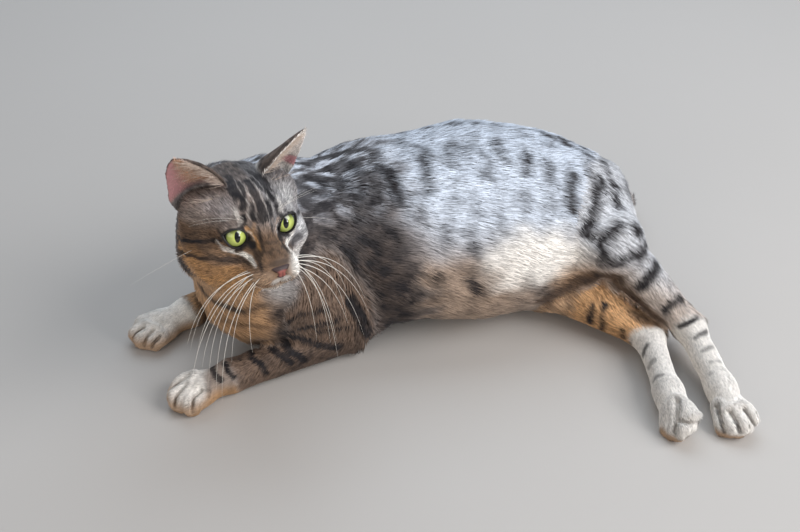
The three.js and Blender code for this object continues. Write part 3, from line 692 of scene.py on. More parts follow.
def paint_body(points, normals, shares):
    """Masks of the trunk and limbs: dark, brown, warm, pale and silver. Points are in millimetres."""
    x, y, z = points.T
    trunk = 1 - share(shares, "forearm", "forepaw", "shank", "hind_foot", "tail", "upper_arm")
    angle, flank = round_trunk(points)
    wavy = np.stack([ripple(points, 13, seed) for seed in (61, 62, 63)], axis=1)
    around = np.stack([x + 9 * (flank < 0), DEGREE * angle], axis=1) + 2.2 * wavy[:, :2]
    spots = [([(a, DEGREE * b) for a, b in line], width, strength) for line, width, strength in TRUNK_SPOTS]
    spots = marks(around, spots, 1.5)
    rows = bands((x + 0.25 * (150 - z) + 5 * ripple(points, 34, 3)) / 21.0)
    faint = ramp(0.55, 0.9, rows + 0.5 * ripple(points, 10, 5))
    fine = ramp(0.1, 0.8, ripple(points * [1.0, 1.0, 0.6], 5.5, 8))
    # The front of the trunk is charcoal, with lighter flecks, and brown lower down.
    front = ramp(-20, -50, x - 0.30 * (angle - 40) + 12 * wavy[:, 0])
    fleck = ramp(0.0, 0.6, ripple(points * [1.0, 0.85, 0.85], 6.0, 9)) * ramp(108, 62, angle)
    fleck = ramp(0.0, 0.45, fleck)
    charcoal = front * (0.88 + 0.12 * fine - (0.30 + 0.58 * ramp(92, 50, angle)) * fleck)
    chest_side = ramp(24, -40, x) * ramp(72, 92, angle + 6 * wavy[:, 1])
    dark = spots * 0.92 + faint * (1 - front) * (0.30 + 0.20 * ramp(62, 30, angle))
    dark = dark + 0.14 * fine + 0.08 * ramp(60, 110, x)
    dark = np.maximum(dark, charcoal) * trunk
    brown = trunk * np.maximum(0.75 * chest_side, 0.45 * front)
    chocolate = near_oval(np.stack([x, angle], axis=1), (-50, 103), (40, 24), 0.4)
    dark = np.maximum(dark, 0.87 * chocolate * trunk) + 0.18 * chest_side * fine
    lower = trunk * ramp(102, 120, angle + 5 * wavy[:, 2]) * (1 - front)
    belly = near_oval(np.stack([x, DEGREE * angle], axis=1) + 5 * wavy[:, :2], (88, 146), (40, 24), 0.5)
    belly = belly * trunk
    brown = np.maximum(brown, 0.75 * lower * (1 - belly))
    dark = dark + (0.08 + 0.12 * fine) * lower
    dark = dark * (1 - 0.8 * belly)
    pale = 0.95 * belly + 0.18 * lower * (1 - belly)
    dark = np.maximum(dark, 0.20 * ramp(48, 12, angle) * trunk)
    silver = trunk * ramp(118, 84, angle) * (1 - 0.55 * front * (1 - 0.6 * fleck)) * (1 - 0.6 * chest_side)
    warm = 0.22 * lower * ramp(110, 60, x) + 0.55 * trunk * near_oval(points, (122, -50, 62), (22, 16, 20))
    # The haunch and the hind legs are silver with bold bars, and buff inside.
    leg = share(shares, "thigh_left", "shank_left")
    foot = share(shares, "hind_foot")
    inner = share(shares, "shank_right", "thigh_right")
    bars = marks(points + 1.3 * wavy, LEG_BARS, 1.35)
    below = ramp(78, 52, z + 0.35 * (x - 180)) * leg
    silver = np.maximum(silver * (1 - leg), 0.7 * leg * (1 - 0.7 * below))
    dark = np.maximum(dark, (0.08 + 0.16 * fine) * leg)
    silver = silver * (1 - 0.95 * inner)
    pale = np.maximum(pale, 0.25 * leg + 0.85 * foot)
    warm = np.maximum(warm * (1 - foot), 0.80 * inner + 0.30 * below)
    warm = np.maximum(warm, 0.7 * foot * ramp(-84, -66, y) * ramp(24, 12, z))
    back = ramp(-0.1, 0.5, normals[:, 1])
    rings = ramp(0.55, 0.9, bands((0.6 * x - 0.7 * y) / 17.0))
    dark = np.maximum(dark, 0.85 * rings * back * np.maximum(leg, inner))
    dark = np.maximum(dark, bars)
    # Painted shade in the fold: darker and browner, with its silver, pale and buff taken down.
    fold_shade = near_line(points + 1.5 * wavy, FOLD_SHADE_LINE, 11) * np.maximum(np.maximum(inner, trunk), 0.9 * leg)
    dark = np.maximum(dark, (0.74 + 0.2 * fine) * fold_shade)
    silver = silver * (1 - fold_shade)
    pale = pale * (1 - fold_shade)
    brown = np.maximum(brown, fold_shade)
    warm = warm * (1 - 0.5 * fold_shade)
    # The forelegs are grey-brown with dark bars, and have cream paws.
    arm = share(shares, "forearm", "upper_arm")
    far_arm = share(shares, "forearm_right")
    far_top = share(shares, "upper_arm_right")
    paw = share(shares, "forepaw")
    across = ramp(0.5, 0.85, bands((-0.86 * x - 0.42 * y + 4 * wavy[:, 0]) / 15.0))
    bars = ramp(0.15, 0.6, marks(points + 0.5 * wavy, ARM_BARS, 1.8))
    lower_arm = ramp(34, 20, z) * ramp(-140, -110, x)
    dark = dark * (1 - 0.8 * arm) + arm * (0.40 + 0.16 * fine + 0.22 * lower_arm) * (1 - 0.4 * far_arm)
    dark = np.maximum(dark, np.maximum(bars, 0.75 * far_arm * across * (1 - paw)))
    dark = np.maximum(dark, (0.62 + 0.2 * fine) * far_top * ramp(20, 50, z))
    brown = np.maximum(brown * (1 - arm), 0.85 * arm * (1 - 0.4 * far_top))
    warm = np.maximum(warm * (1 - paw), 0.55 * far_arm * ramp(-120, -150, x))
    silver = silver * (1 - arm) * (1 - paw)
    near_top = ramp(-174, -188, x + 6 * wavy[:, 1]) * ramp(-0.7, 0.0, normals[:, 2])
    top = np.where(x < BETWEEN_PAWS, ramp(-0.1, 0.5, normals[:, 2]), near_top)
    near_paw = paw * (x > BETWEEN_PAWS)
    pale = np.maximum(pale * (1 - arm), paw * (0.85 + 0.15 * top) - near_paw * 0.62 * (1 - top))
    dark = np.maximum(dark, near_paw * (1 - top) * (0.22 + 0.2 * fine))
    dark = np.maximum(dark, bars * near_paw)
    brown = np.maximum(brown, 0.8 * paw * (1 - top))
    # The tail has dark rings and a dark tip.
    tail = share(shares, "tail")
    rings = ramp(0.35, 0.7, bands(x / 27.0 + 0.2 + 0.1 * wavy[:, 0]))
    dark = np.maximum(dark * (1 - tail), tail * np.maximum(0.9 * rings, ramp(62, 46, x) * ramp(150, 160, y)))
    # The throat and the front of the chest are buff, with dark necklaces.
    dark = np.maximum(dark, 0.9 * near_oval(points, (181, 36, 92), (9, 16, 14), 0.5))
    neck = share(shares, "neck")
    forward = -0.75 * (x + 115) - 0.45 * (y + 95) + 5 * wavy[:, 1]
    buff = trunk * ramp(2, 24 + 26 * ramp(-95, -55, y), forward)
    buff = buff * ramp(140, 118, z + 9 * wavy[:, 2]) * ramp(-52, -72, y)
    # Between the chin and the shoulder the neck is pale grey.
    fade = near_oval(points, (-114, -110, 102), (14, 14, 18), 0.7)
    necklace = marks(points + 1.5 * wavy, NECK_LINES, 1.9)
    warm = np.maximum(warm, 0.66 * buff) * (1 - fade)
    dark = np.maximum(dark * (1 - buff), (0.14 + 0.16 * fine) * buff) * (1 - 0.55 * fade)
    brown = brown * (1 - 0.6 * buff) * (1 - 0.8 * fade)
    pale = np.maximum(pale, 0.22 * fade)
    silver = np.maximum(silver, 0.15 * fade)
    dark = np.maximum(dark, necklace * np.maximum(neck, trunk) * (1 - 0.6 * fade))
    # The gaps between the toes get painted shade, darker and browner, and the toes' tips are darker and
    # browner too.
    gaps = toe_measures(points * MM, shares)[0]
    dark = np.maximum(dark, gaps * (0.45 + 0.35 * ramp(20, 13, z)))
    toe_tips = np.maximum(paw * ramp(21, 9, z), foot * ramp(11, 4, z) * ramp(-160, -166, y))
    warm = np.maximum(warm, 0.75 * toe_tips)
    pale = pale * (1 - 0.72 * toe_tips)
    dark = np.maximum(dark, 0.28 * toe_tips)
    brown = np.maximum(brown, 0.8 * np.maximum(gaps, toe_tips))
    return dark, brown, warm, pale, silver


def paint_head(head):
    """Masks of the head, from its own frame: dark, brown, warm, pale and silver."""
    folded = mirrored(head)
    x, z = folded[:, 0], folded[:, 2]
    wavy = folded + 0.55 * np.stack([ripple(head, 5, seed) for seed in (31, 32, 33)], axis=1)
    crown = ramp(4, 14, z)
    fine = ramp(-0.1, 0.7, ripple(head * [0.5, 1, 1], 2.2, 41))
    # The left side of the face faces the window light. In these masks it is painted lighter and more silver
    # as painted light, and the right side is painted darker, browner and warmer as painted shade.
    left = ramp(1.0, 7.0, head[:, 1])
    dark = 0.25 + 0.24 * fine + 0.09 * crown + 0.32 * ramp(12, -8, x) * ramp(20, 28, z)
    dark = dark * (1 - 0.7 * ramp(-11, -17, z))
    # On the right side, away from the window light, the brow and the side of the face get painted shade
    # behind the eye.
    dark = np.maximum(dark, 0.66 * (1 - left) * near_oval(folded, (4, 38, 0), (20, 14, 12), 0.4))
    dark = np.maximum(dark, face_marks(wavy, FACE_DARK))
    dark = np.maximum(dark, ramp(0.12, 0.62, face_marks(wavy, FOREHEAD_DARK, 1.9)))
    pale = face_marks(wavy, FACE_PALE)
    dark = dark * (1 - 0.9 * pale)
    behind = ramp(36, 28, x)
    brown = 0.95 - (0.62 + 0.25 * left) * crown - 0.65 * left * behind * (1 - crown)
    temple = near_oval(head, (14, 27, 17), (12, 10, 9), 0.6) + near_oval(head, (20, 34, -3), (7, 6, 14), 0.5)
    temple = np.clip(temple, 0, 1)
    brow = near_oval(head, (11, -24, 22.5), (15, 10, 7), 0.6)
    silver = 0.16 * crown + 0.30 * temple + 0.35 * brow + 0.3 * left * behind * (1 - crown)
    dark = dark * (1 - 0.35 * temple) * (1 - 0.35 * brow)
    pale = np.maximum(pale, 0.48 * temple)
    jaw = ramp(-11, -17, z + 0.10 * (x - 25)) * ramp(46, 36, x)
    jaw = jaw * (0.72 + 0.28 * ramp(-0.5, 0.5, ripple(head, 7, 44)))
    jaw = np.maximum(jaw, 0.7 * near_oval(folded, (7, 41, -8.5), (9, 9, 4.2), 0.4))
    tan = face_marks(folded, FACE_TAN) * (1 - 0.65 * left)
    # The jaw is buff on the right and pale silver on the left. The left side's paleness is painted light.
    warm = np.maximum(0.8 * tan, 0.70 * jaw * (1 - 0.9 * left))
    warm = np.maximum(warm, 0.14 * (1 - left))
    pale = np.maximum(pale, 0.5 * jaw * left)
    silver = np.maximum(silver, 0.5 * jaw * left)
    dark = dark * (1 - 0.7 * tan)
    # The bridge of the nose is brown and darkest just above the leather.
    bridge = near_oval(folded, (42, 0, -1), (12, 7, 9), 0.35)
    above = near_oval(folded, (50, 0, -8.6), (6, 9, 2.8), 0.4)
    dark = dark * (1 - bridge) + bridge * (0.56 + 0.20 * fine)
    warm = np.maximum(warm * (1 - bridge), 0.22 * bridge)
    dark = np.maximum(dark, 0.75 * above)
    # The pads are pale with rows of dark dots, and the lip and chin are pale too. The left pad faces the
    # window light and gets painted light, while the right one keeps a buff tint.
    pad = near_oval(folded, (47, 11, -18), (9, 8.5, 6.5), 0.25)
    # Painted light: the left pad, which faces the window light, is made whiter, with its dark and buff taken
    # out.
    window_lit_pad = near_oval(head, (44, 12.5, -17), (12, 9.5, 9.0), 0.3)
    pale = np.maximum(pale, np.maximum(0.14 * pad, window_lit_pad))
    warm = np.maximum(warm, 0.35 * pad * (1 - window_lit_pad))
    under_nose = near_oval(folded, (52, 3, -22.5), (5, 5, 3.2), 0.3)
    chin = near_oval(folded, (40, 0, -32), (13, 12, 6.5), 0.35)
    pale = np.maximum(pale, np.maximum(0.75 * under_nose, 0.62 * chin))
    dots = np.zeros(len(head))
    for spot in whisker_places():
        dots = np.maximum(dots, near_oval(folded, spot, (1.4, 1.3, 0.8), 0.35))
    dark = dark * (1 - 0.15 * pad) * (1 - window_lit_pad) * (1 - 0.8 * chin)
    dark = np.maximum(dark, (0.65 - 0.35 * left) * dots)
    # The mouth's line is dark: the lips' own dark edge, with painted shade in its groove.
    dark = np.maximum(dark, near_line(folded, MOUTH, 1.6) * 0.9)
    # The lids are dark along their edges and at both corners.
    _, _, inside, radius = eye_opening(head)
    near_eye = ramp(15.0, 12.0, radius)
    tear = near_oval(folded, (31.5, 10.6, -1.8), (4.5, 3.2, 3.4), 0.35)
    outer = near_oval(folded, (21.5, 28, 4.2), (4.0, 3.4, 2.4), 0.35)
    rim = near_eye * ramp(-9.0, -4.0, inside)
    dark = np.maximum(dark, np.maximum(rim, np.maximum(tear, 0.9 * outer)))
    pale = pale * (1 - np.maximum(rim, tear))
    return dark * 0.97, brown, warm, pale, silver


EAR_HALF_WIDTH = {"ear_left": 23.5, "ear_right": 23.0}
# Each ear's root, tip and the way its hollow faces, in the head's frame.
EARS = {
    "ear_left": ((-6, 28.8, 22.8), (8, 46.4, 61.5), (0.89, 0.456, 0.0)),
    "ear_right": ((-6, -31.5, 20.5), (8, -52, 63.5), (0.88, -0.47, 0.0)),
}


def ear_place(head, name):
    """How far up an ear each point is, from 0 to 1, and how far outwards, from -1 to 1 at its edges."""
    root, tip, opening = (np.array(value, float) for value in EARS[name])
    side = 1.0 if name == "ear_left" else -1.0
    along = unit(tip - root)
    outwards = unit(np.cross(along, opening)) * -side
    outwards = outwards * np.sign(outwards[1] * side)
    up = (head - root) @ along / np.linalg.norm(tip - root)
    half = EAR_HALF_WIDTH[name] * np.clip(1 - np.clip(up, 0, 1) ** 1.6, 0.02, 1) ** 0.65
    return up, (head - root) @ outwards / half, unit(opening - (opening @ along) * along), along, outwards


def paint_ear(head, facing, name):
    """Masks of one ear: dark, brown, warm, pale, silver and bare."""
    up, out, opening, _, _ = ear_place(head, name)
    left = name == "ear_left"
    hollow = ramp(0.05, 0.40, facing @ opening) * ramp(-1.0, -0.92, out)
    edge = ramp(0.84, 1.0, np.abs(out))
    fine = ramp(-0.3, 0.7, ripple(head * [1, 1, 0.4], 3, 71))
    outer = ramp(-0.15, 0.5, out)
    # Painted shade deep in the hollow, low down and towards its inner side.
    base = ramp(0.30, 0.10, up) * ramp(0.7, 0.1, out)
    foot = ramp(0.20, 0.06, up)
    spot = near_oval(np.stack([out, up], axis=1), (0.62, 0.24), (0.34, 0.10), 0.5)
    fringe = ramp(0.14, 0.0, np.abs(out + 0.90)) * ramp(0.05, 0.4, facing @ opening) * (1 - foot)
    back = 1 - hollow
    bare = np.maximum(0.05 + 0.08 * outer, spot) if left else 0.25 + 0.62 * outer
    inner_pale = 0.95 if left else 0.12 * (1 - outer)
    dark = back * (0.52 + 0.25 * fine + 0.25 * ramp(0.3, 0.05, up))
    dark = dark + hollow * ((0.25 if left else 0.70) * base + (0.15 if left else 0.4) * edge)
    warm = hollow * (0.04 if left else 0.30 + 0.45 * (1 - outer)) * (1 - base)
    pale = np.maximum(hollow * inner_pale * (1 - spot), 0.7 * fringe)
    dark = dark * (1 - 0.8 * fringe)
    brown = back * 0.85 + hollow * 0.4
    silver = back * 0.10
    # The foot of the ear is coloured like the fur round it: lighter on the left and darker and browner on the
    # right, as the face's painted light and shade.
    dark = dark + foot * ((0.10 if left else 0.52) + 0.2 * fine - dark)
    brown = brown + foot * ((0.15 if left else 0.70) - brown)
    pale = pale + foot * ((0.45 if left else 0.05) - pale)
    silver = silver + foot * (0.25 - silver)
    columns = [dark, brown, warm * (1 - foot), pale, silver, hollow * bare * (1 - foot)]
    return np.stack(columns, axis=1)


MASKS = ("dark", "brown", "warm", "pale", "silver", "bare", "tick")
TUFT_MASKS = (*MASKS, "vary", "along")  # a tuft's own shade, and the way from its root to its tip


def paint(places, normals, shares):
    """All the masks of the coat's colours at some places of the skin, as they lie at the coat's tips."""
    depth = shares @ part_values("depth") * MM
    places = places + normals * depth[:, None]
    head = to_head(places)
    facing = normals @ HEAD_AXES.T
    none = np.zeros(len(places))
    masks = np.stack([*paint_body(places / MM, normals, shares), none], axis=1)
    face = np.stack([*paint_head(head), none], axis=1)
    on_head = ramp(0.25, 0.75, share(shares, "head"))[:, None]
    masks = masks * (1 - on_head) + face * on_head
    for name in EARS:
        on_ear = ramp(0.25, 0.75, share(shares, name))[:, None]
        masks = masks * (1 - on_ear) + paint_ear(head, facing, name) * on_ear
    tick = 0.55 + 0.45 * on_head[:, 0] - 0.35 * share(shares, "forepaw", "hind_foot")
    return np.clip(np.column_stack([masks, tick]), 0, 1)


# ---------------------------------------------------------------- the coat's tufts
# Each coat piece: its name, its parts, how many tufts it has at most and whether it is only on the face.
COAT_PIECES = [
    ("coat_face", ("head",), 33000, True),
    ("coat_head_back", ("head", "neck"), 30000, False),
    ("coat_ears", ("ear",), 12000, False),
    ("coat_chest", ("chest", "upper_arm"), 33000, False),
    ("coat_belly", ("belly",), 33000, False),
    ("coat_hips", ("hips", "thigh"), 33000, False),
    ("coat_forelegs", ("forearm", "forepaw"), 32000, False),
    ("coat_hind_legs", ("shank", "hind_foot", "tail"), 33000, False),
]


def sample_skin(kinds, count, on_face, seed):
    """Even random places on the skin of some parts: triangle indices and the share of each corner."""
    skin = made["skin"]
    rng = np.random.default_rng(seed)
    corners = skin["triangles"]
    places = skin["places"][corners]

    def owned(*some):
        return share(skin["shares"], *some)[corners].mean(axis=1)

    area = np.linalg.norm(np.cross(places[:, 1] - places[:, 0], places[:, 2] - places[:, 0]), axis=1)
    weight = area * ramp(0.35, 0.65, owned(*kinds))
    face = ramp(-8, 4, to_head(places.mean(axis=1))[:, 0]) * ramp(0.3, 0.7, owned("head"))
    if on_face:
        weight = weight * face
    elif "head" in kinds:
        weight = weight * (1 - face)
    if "forepaw" in kinds or "hind_foot" in kinds:
        weight = weight * (1 + 1.4 * owned("forepaw", "hind_foot"))
    total = np.cumsum(weight)
    picks = (np.arange(count) + rng.uniform(size=count)) / count * total[-1]
    chosen = np.minimum(np.searchsorted(total, picks), len(total) - 1)
    first = np.sqrt(rng.uniform(size=count))
    second = rng.uniform(size=count)
    mix = np.stack([1 - first, first * (1 - second), first * second], axis=1)
    return chosen, mix, rng


def at_roots(key, chosen, mix):
    """One of the skin's arrays at the tufts' roots."""
    corners = made["skin"]["triangles"][chosen]
    return (made["skin"][key][corners] * mix[:, :, None]).sum(axis=1)


def root_uv(places, shares):
    """A place on an unwrap of the skin: one tile per part, with the angle round it and the way along it."""
    part = np.argmax(shares, axis=1)
    uv = np.zeros((len(places), 2))
    tiles = sorted(set(part))
    columns = math.ceil(math.sqrt(len(tiles)))
    for index, tile in enumerate(tiles):
        own = part == tile
        name = FLESH[tile]
        nodes = np.array([vertex.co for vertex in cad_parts[name].data.vertices])
        middle = nodes.mean(axis=0)
        axes = np.linalg.svd(nodes - middle, full_matrices=False)[2]
        along, side, other = ((places[own] - middle) @ axes.T).T
        span = (nodes - middle) @ axes[0]
        angle = np.arctan2(other, side) / (2 * math.pi) + 0.5
        height = np.clip((along - span.min()) / (span.max() - span.min()), 0, 1)
        cell = np.array([index % columns, index // columns])
        uv[own] = (cell + 0.03 + 0.93 * np.stack([angle, height], axis=1)) / columns
    return uv


# A tuft's five corners are its root, the two sides and the ridge of its waist, and its tip.
TUFT_FACES = np.array([[0, 3, 1], [0, 2, 3], [1, 3, 4], [3, 2, 4], [0, 1, 2], [2, 1, 4]])
PATCH = 0.003  # the side of a tuft's patch on the unwrap
TOP_UV = np.array([[0, 0.3], [0.35, 0.6], [0.35, 0], [0.35, 0.3], [1, 0.3]])
UNDER_UV = np.array([[0, 0.8], [0.35, 1], [0.35, 0.65], [0.35, 0.8], [1, 0.8]])
TUFT_UV = PATCH * np.concatenate([TOP_UV[TUFT_FACES[:4]], UNDER_UV[TUFT_FACES[4:]]])


def build_coat(name, kinds, count, on_face, seed):
    """A piece of the coat: spindle-shaped tufts, each with a root, a three-cornered waist and a tip."""
    chosen, mix, rng = sample_skin(kinds, count, on_face, seed)
    keep = at_roots("haired", chosen, mix)[:, 0] > rng.uniform(0.1, 0.9, size=count)
    chosen, mix = chosen[keep], mix[keep]
    root, shares = at_roots("places", chosen, mix), at_roots("shares", chosen, mix)
    normal, flow = unit(at_roots("normals", chosen, mix)), unit(at_roots("flow", chosen, mix))
    depth, length, width = (at_roots("sizes", chosen, mix) * MM).T
    count = len(root)
    length = length * rng.uniform(0.7, 1.2, size=count)
    width = width * rng.uniform(0.75, 1.25, size=count)
    low = ramp(16 * MM, 3 * MM, root[:, 2])
    length = length * (1 - 0.5 * low)
    depth = depth * (1 - 0.6 * low)
    side = np.cross(normal, flow)
    wave = 0.22 * ripple(root / MM, 22, 51) + 0.10 * ripple(root / MM, 6, 52)
    wave = wave + rng.normal(0, 0.10, size=count)
    flow = unit(flow + side * wave[:, None])
    side = np.cross(normal, flow)
    lift = depth * rng.uniform(0.55, 1.0, size=count)
    waist = root + flow * (length * 0.38)[:, None] + normal * (lift * 0.62)[:, None]
    tip = root + flow * (length * 0.97)[:, None] + normal * lift[:, None]
    root = root - normal * (0.25 * MM)
    half = side * (width * 0.5)[:, None]
    ridge = normal * (width * 0.42)[:, None]
    corners = np.stack([root, waist + half, waist - half, waist + ridge, tip], axis=1)
    corners[:, :, 2] = np.maximum(corners[:, :, 2], TUFT_CLEARANCE)
    triangles = (TUFT_FACES[None] + 5 * np.arange(count)[:, None, None]).reshape(-1, 3)
    mesh = mesh_of_triangles(name, corners.reshape(-1, 3), triangles)
    near = paint(root + flow * (length * 0.3)[:, None], normal, shares)
    far = paint(root + flow * (length * 0.85)[:, None], normal, shares)
    masks = np.stack([near, near, near, near, far], axis=1).reshape(-1, len(MASKS))
    for column, mask in enumerate(MASKS):
        set_floats(mesh, mask, masks[:, column])
    set_floats(mesh, "along", np.tile([0.0, 0.4, 0.4, 0.4, 1.0], count))
    set_floats(mesh, "vary", np.repeat(rng.uniform(size=count), 5))
    mapped = root_uv(root, shares)[:, None, None, :] + TUFT_UV[None]
    layer = mesh.uv_layers.new(name="OFBake")
    layer.data.foreach_set("uv", mapped.astype(np.float32).ravel())
    bend = np.stack([0 * side, side * 0.45, -side * 0.45, 0 * side, flow * 0.25], axis=1)
    soft = unit(normal[:, None] + bend).reshape(-1, 3)
    mesh.normals_split_custom_set_from_vertices(soft.astype(np.float32).tolist())
    return mesh


# ---------------------------------------------------------------- materials
def give(tree, socket, value):
    """Gives a socket its value, which is another node's socket or a plain value."""
    if isinstance(value, bpy.types.NodeSocket):
        tree.links.new(value, socket)
    else:
        socket.default_value = value


def new_node(tree, kind, **inputs):
    """A new node, with some of its inputs given by their names."""
    step = tree.nodes.new("ShaderNode" + kind)
    for key, value in inputs.items():
        give(tree, step.inputs[key.replace("_", " ")], value)
    return step


def principled(name, **inputs):
    """A new material, its tree and its shader, with some of the shader's inputs given by their names."""
    material = bpy.data.materials.new(name)
    material.use_nodes = True
    shader = material.node_tree.nodes["Principled BSDF"]
    for key, value in inputs.items():
        shader.inputs[key.replace("_", " ")].default_value = value
    return material, material.node_tree, shader


def mix_colour(tree, factor, first, second, blend="MIX"):
    """Each of the factor and the two colours can be a socket or a plain value."""
    mix = new_node(tree, "Mix")
    mix.data_type = "RGBA"
    mix.blend_type = blend
    for index, value in ((0, factor), (6, first), (7, second)):
        give(tree, mix.inputs[index], value)
    return mix.outputs[2]


def maths(tree, operation, *values):
    """One step of arithmetic on sockets or plain values."""
    step = new_node(tree, "Math")
    step.operation = operation
    for socket, value in zip(step.inputs, values):
        give(tree, socket, value)
    return step.outputs[0]


def squares(tree, first, second):
    """The sum of two squares."""
    first = maths(tree, "MULTIPLY", first, first)
    return maths(tree, "ADD", first, maths(tree, "MULTIPLY", second, second))


def ranged(tree, value, low, high, top=1.0, kind="SMOOTHSTEP"):
    """0 at the low value, rising to `top` at the high one."""
    step = new_node(tree, "MapRange", Value=value, From_Min=low, From_Max=high, To_Max=top)
    step.interpolation_type = kind
    return step.outputs["Result"]


def noise_at(tree, place, scale, detail):
    """Noise of some fineness at a place."""
    return new_node(tree, "TexNoise", Vector=place, Scale=scale, Detail=detail).outputs["Fac"]


def attribute(tree, name, output="Fac"):
    """What the mesh carries under a name."""
    reader = new_node(tree, "Attribute")
    reader.attribute_name = name
    return reader.outputs[output]


def raise_bumps(tree, shader, height, strength, distance):
    """Lifts the shader's surface by a height."""
    bump = new_node(tree, "Bump", Height=height, Strength=strength, Distance=distance)
    tree.links.new(bump.outputs["Normal"], shader.inputs["Normal"])


def linear(value):
    """A shader's linear value from an everyday one."""
    return ((value / 255 + 0.055) / 1.055) ** 2.4 if value > 10 else value / 3294.6


def colour(red, green, blue):
    """A colour from everyday 0 to 255 values, as the linear values that shaders take."""
    return (linear(red), linear(green), linear(blue), 1.0)


def coat_colour_group():
    """Mixes the coat's colours from the masks of its markings."""
    group = bpy.data.node_groups.new("coat_colour", "ShaderNodeTree")
    for name in TUFT_MASKS:
        group.interface.new_socket(name, in_out="INPUT", socket_type="NodeSocketFloat")
    group.interface.new_socket("place", in_out="INPUT", socket_type="NodeSocketVector")
    group.interface.new_socket("Colour", in_out="OUTPUT", socket_type="NodeSocketColor")
    group.interface.new_socket("Roughness", in_out="OUTPUT", socket_type="NodeSocketFloat")
    tones = bpy.context.scene.cat_coat
    given = group.nodes.new("NodeGroupInput").outputs
    out = group.nodes.new("NodeGroupOutput").inputs
    fine = noise_at(group, given["place"], 420.0, 3.0)
    mottle = noise_at(group, given["place"], 90.0, 2.0)
    ground = tones.ground
    coats = (("brown", tones.brown), ("silver", tones.silver), ("warm", tones.buff), ("pale", tones.pale))
    for mask, tone in coats:
        ground = mix_colour(group, given[mask], ground, tone)
    dark = maths(group, "MULTIPLY", given["dark"], maths(group, "MULTIPLY_ADD", mottle, 0.5, 0.75))
    dark.node.use_clamp = True
    marked = mix_colour(group, dark, ground, tones.dark)
    marked = mix_colour(group, given["bare"], marked, tones.skin)
    # Each hair lock is lighter or darker than its neighbours, most of all where the coat is ticked.
    swing = maths(group, "SUBTRACT", given["vary"], 0.5)
    swing = maths(group, "MULTIPLY", swing, given["tick"])
    swing = maths(group, "MULTIPLY_ADD", swing, 1.25, 1.0)
    swing = maths(group, "ADD", swing, maths(group, "MULTIPLY_ADD", fine, 0.5, -0.25))
    tip = maths(group, "MULTIPLY_ADD", given["along"], 0.34, 0.84)
    shade = maths(group, "MULTIPLY", swing, tip)
    grey = group.nodes.new("ShaderNodeCombineColor")
    for channel in grey.inputs:
        group.links.new(shade, channel)
    group.links.new(mix_colour(group, 1.0, marked, grey.outputs[0], "MULTIPLY"), out["Colour"])
    group.links.new(maths(group, "MULTIPLY_ADD", fine, 0.2, 0.55), out["Roughness"])
    return group


def coat_material(name, on_tufts):
    """The skin's or the tufts' material, both from the same colour group."""
    material, tree, shader = principled(name, Specular_IOR_Level=0.3, Sheen_Weight=0.06, Sheen_Roughness=0.5)
    place = new_node(tree, "TexCoord").outputs["Object"]
    group = new_node(tree, "Group")
    group.node_tree = made["coat_colour"]
    give(tree, group.inputs["place"], place)
    for key in TUFT_MASKS if on_tufts else MASKS:
        give(tree, group.inputs[key], attribute(tree, key))
    if not on_tufts:
        give(tree, group.inputs["vary"], 0.35)
        give(tree, group.inputs["along"], 0.0)
        raise_bumps(tree, shader, noise_at(tree, place, 1100.0, 4.0), 0.5, 0.0006)
    tree.links.new(group.outputs["Colour"], shader.inputs["Base Color"])
    tree.links.new(group.outputs["Roughness"], shader.inputs["Roughness"])
    return material


def plain_material(name, tone, second, scale, roughness, coat=0.0, bump=0.0):
    """Two tones mottled by noise, with a fine bump: nose leather, lid rims, whiskers."""
    material, tree, shader = principled(name, Coat_Weight=coat, Coat_Roughness=0.12)
    place = new_node(tree, "TexCoord").outputs["Object"]
    noise = noise_at(tree, place, scale, 3.0)
    tree.links.new(mix_colour(tree, noise, tone, second), shader.inputs["Base Color"])
    tree.links.new(maths(tree, "MULTIPLY_ADD", noise, 0.2, roughness), shader.inputs["Roughness"])
    if bump:
        cells = new_node(tree, "TexVoronoi", Vector=place, Scale=1400.0)
        raise_bumps(tree, shader, cells.outputs["Distance"], bump, 0.0004)
    return material


PUPIL = (0.205, 0.40)  # its half width and half height, as shares of the eyeball's radius


def eye_material():
    """A yellow-green iris round an upright pupil, under a wet, clear surface."""
    material, tree, shader = principled(
        "eye", Roughness=0.35, Specular_IOR_Level=0.05, Coat_Weight=1.0, Coat_Roughness=0.02, Coat_IOR=1.6
    )
    tones = bpy.context.scene.cat_eyes
    parts = new_node(tree, "SeparateXYZ", Vector=attribute(tree, "iris_place", "Vector"))
    side, up = parts.outputs["Y"], parts.outputs["Z"]
    radius = maths(tree, "SQRT", squares(tree, side, up))
    # The iris has fibres that run outwards, a darker edge and the upper lid's shadow.
    turn = maths(tree, "MULTIPLY", maths(tree, "ARCTAN2", up, side), 7.0)
    spokes = new_node(tree, "CombineXYZ", X=turn, Y=maths(tree, "MULTIPLY", radius, 3.0))
    fibres = noise_at(tree, spokes.outputs[0], 2.2, 4.0)
    iris = mix_colour(tree, fibres, tones.iris_yellow, tones.iris_green)
    iris = mix_colour(tree, ranged(tree, radius, 0.30, 0.66, 0.8, "LINEAR"), iris, tones.iris_edge)
    iris = mix_colour(tree, ranged(tree, up, 0.10, 0.52, 0.85), iris, colour(52, 56, 30))
    iris = mix_colour(tree, ranged(tree, radius, 0.64, 0.75), iris, colour(16, 17, 12))
    # The pupil is an upright oval.
    pupil = squares(tree, maths(tree, "DIVIDE", side, PUPIL[0]), maths(tree, "DIVIDE", up, PUPIL[1]))
    eye = mix_colour(tree, ranged(tree, pupil, 0.8, 1.15), colour(4, 5, 5), iris)
    tree.links.new(eye, shader.inputs["Base Color"])
    return material


# ---------------------------------------------------------------- separate pieces
GAZE = unit(np.array([0.954, -0.151, 0.26]))  # where both eyes look, in the head's frame
RIM_LIFT = 0.55  # how far the middle of the lids' rims stands off the eyeball


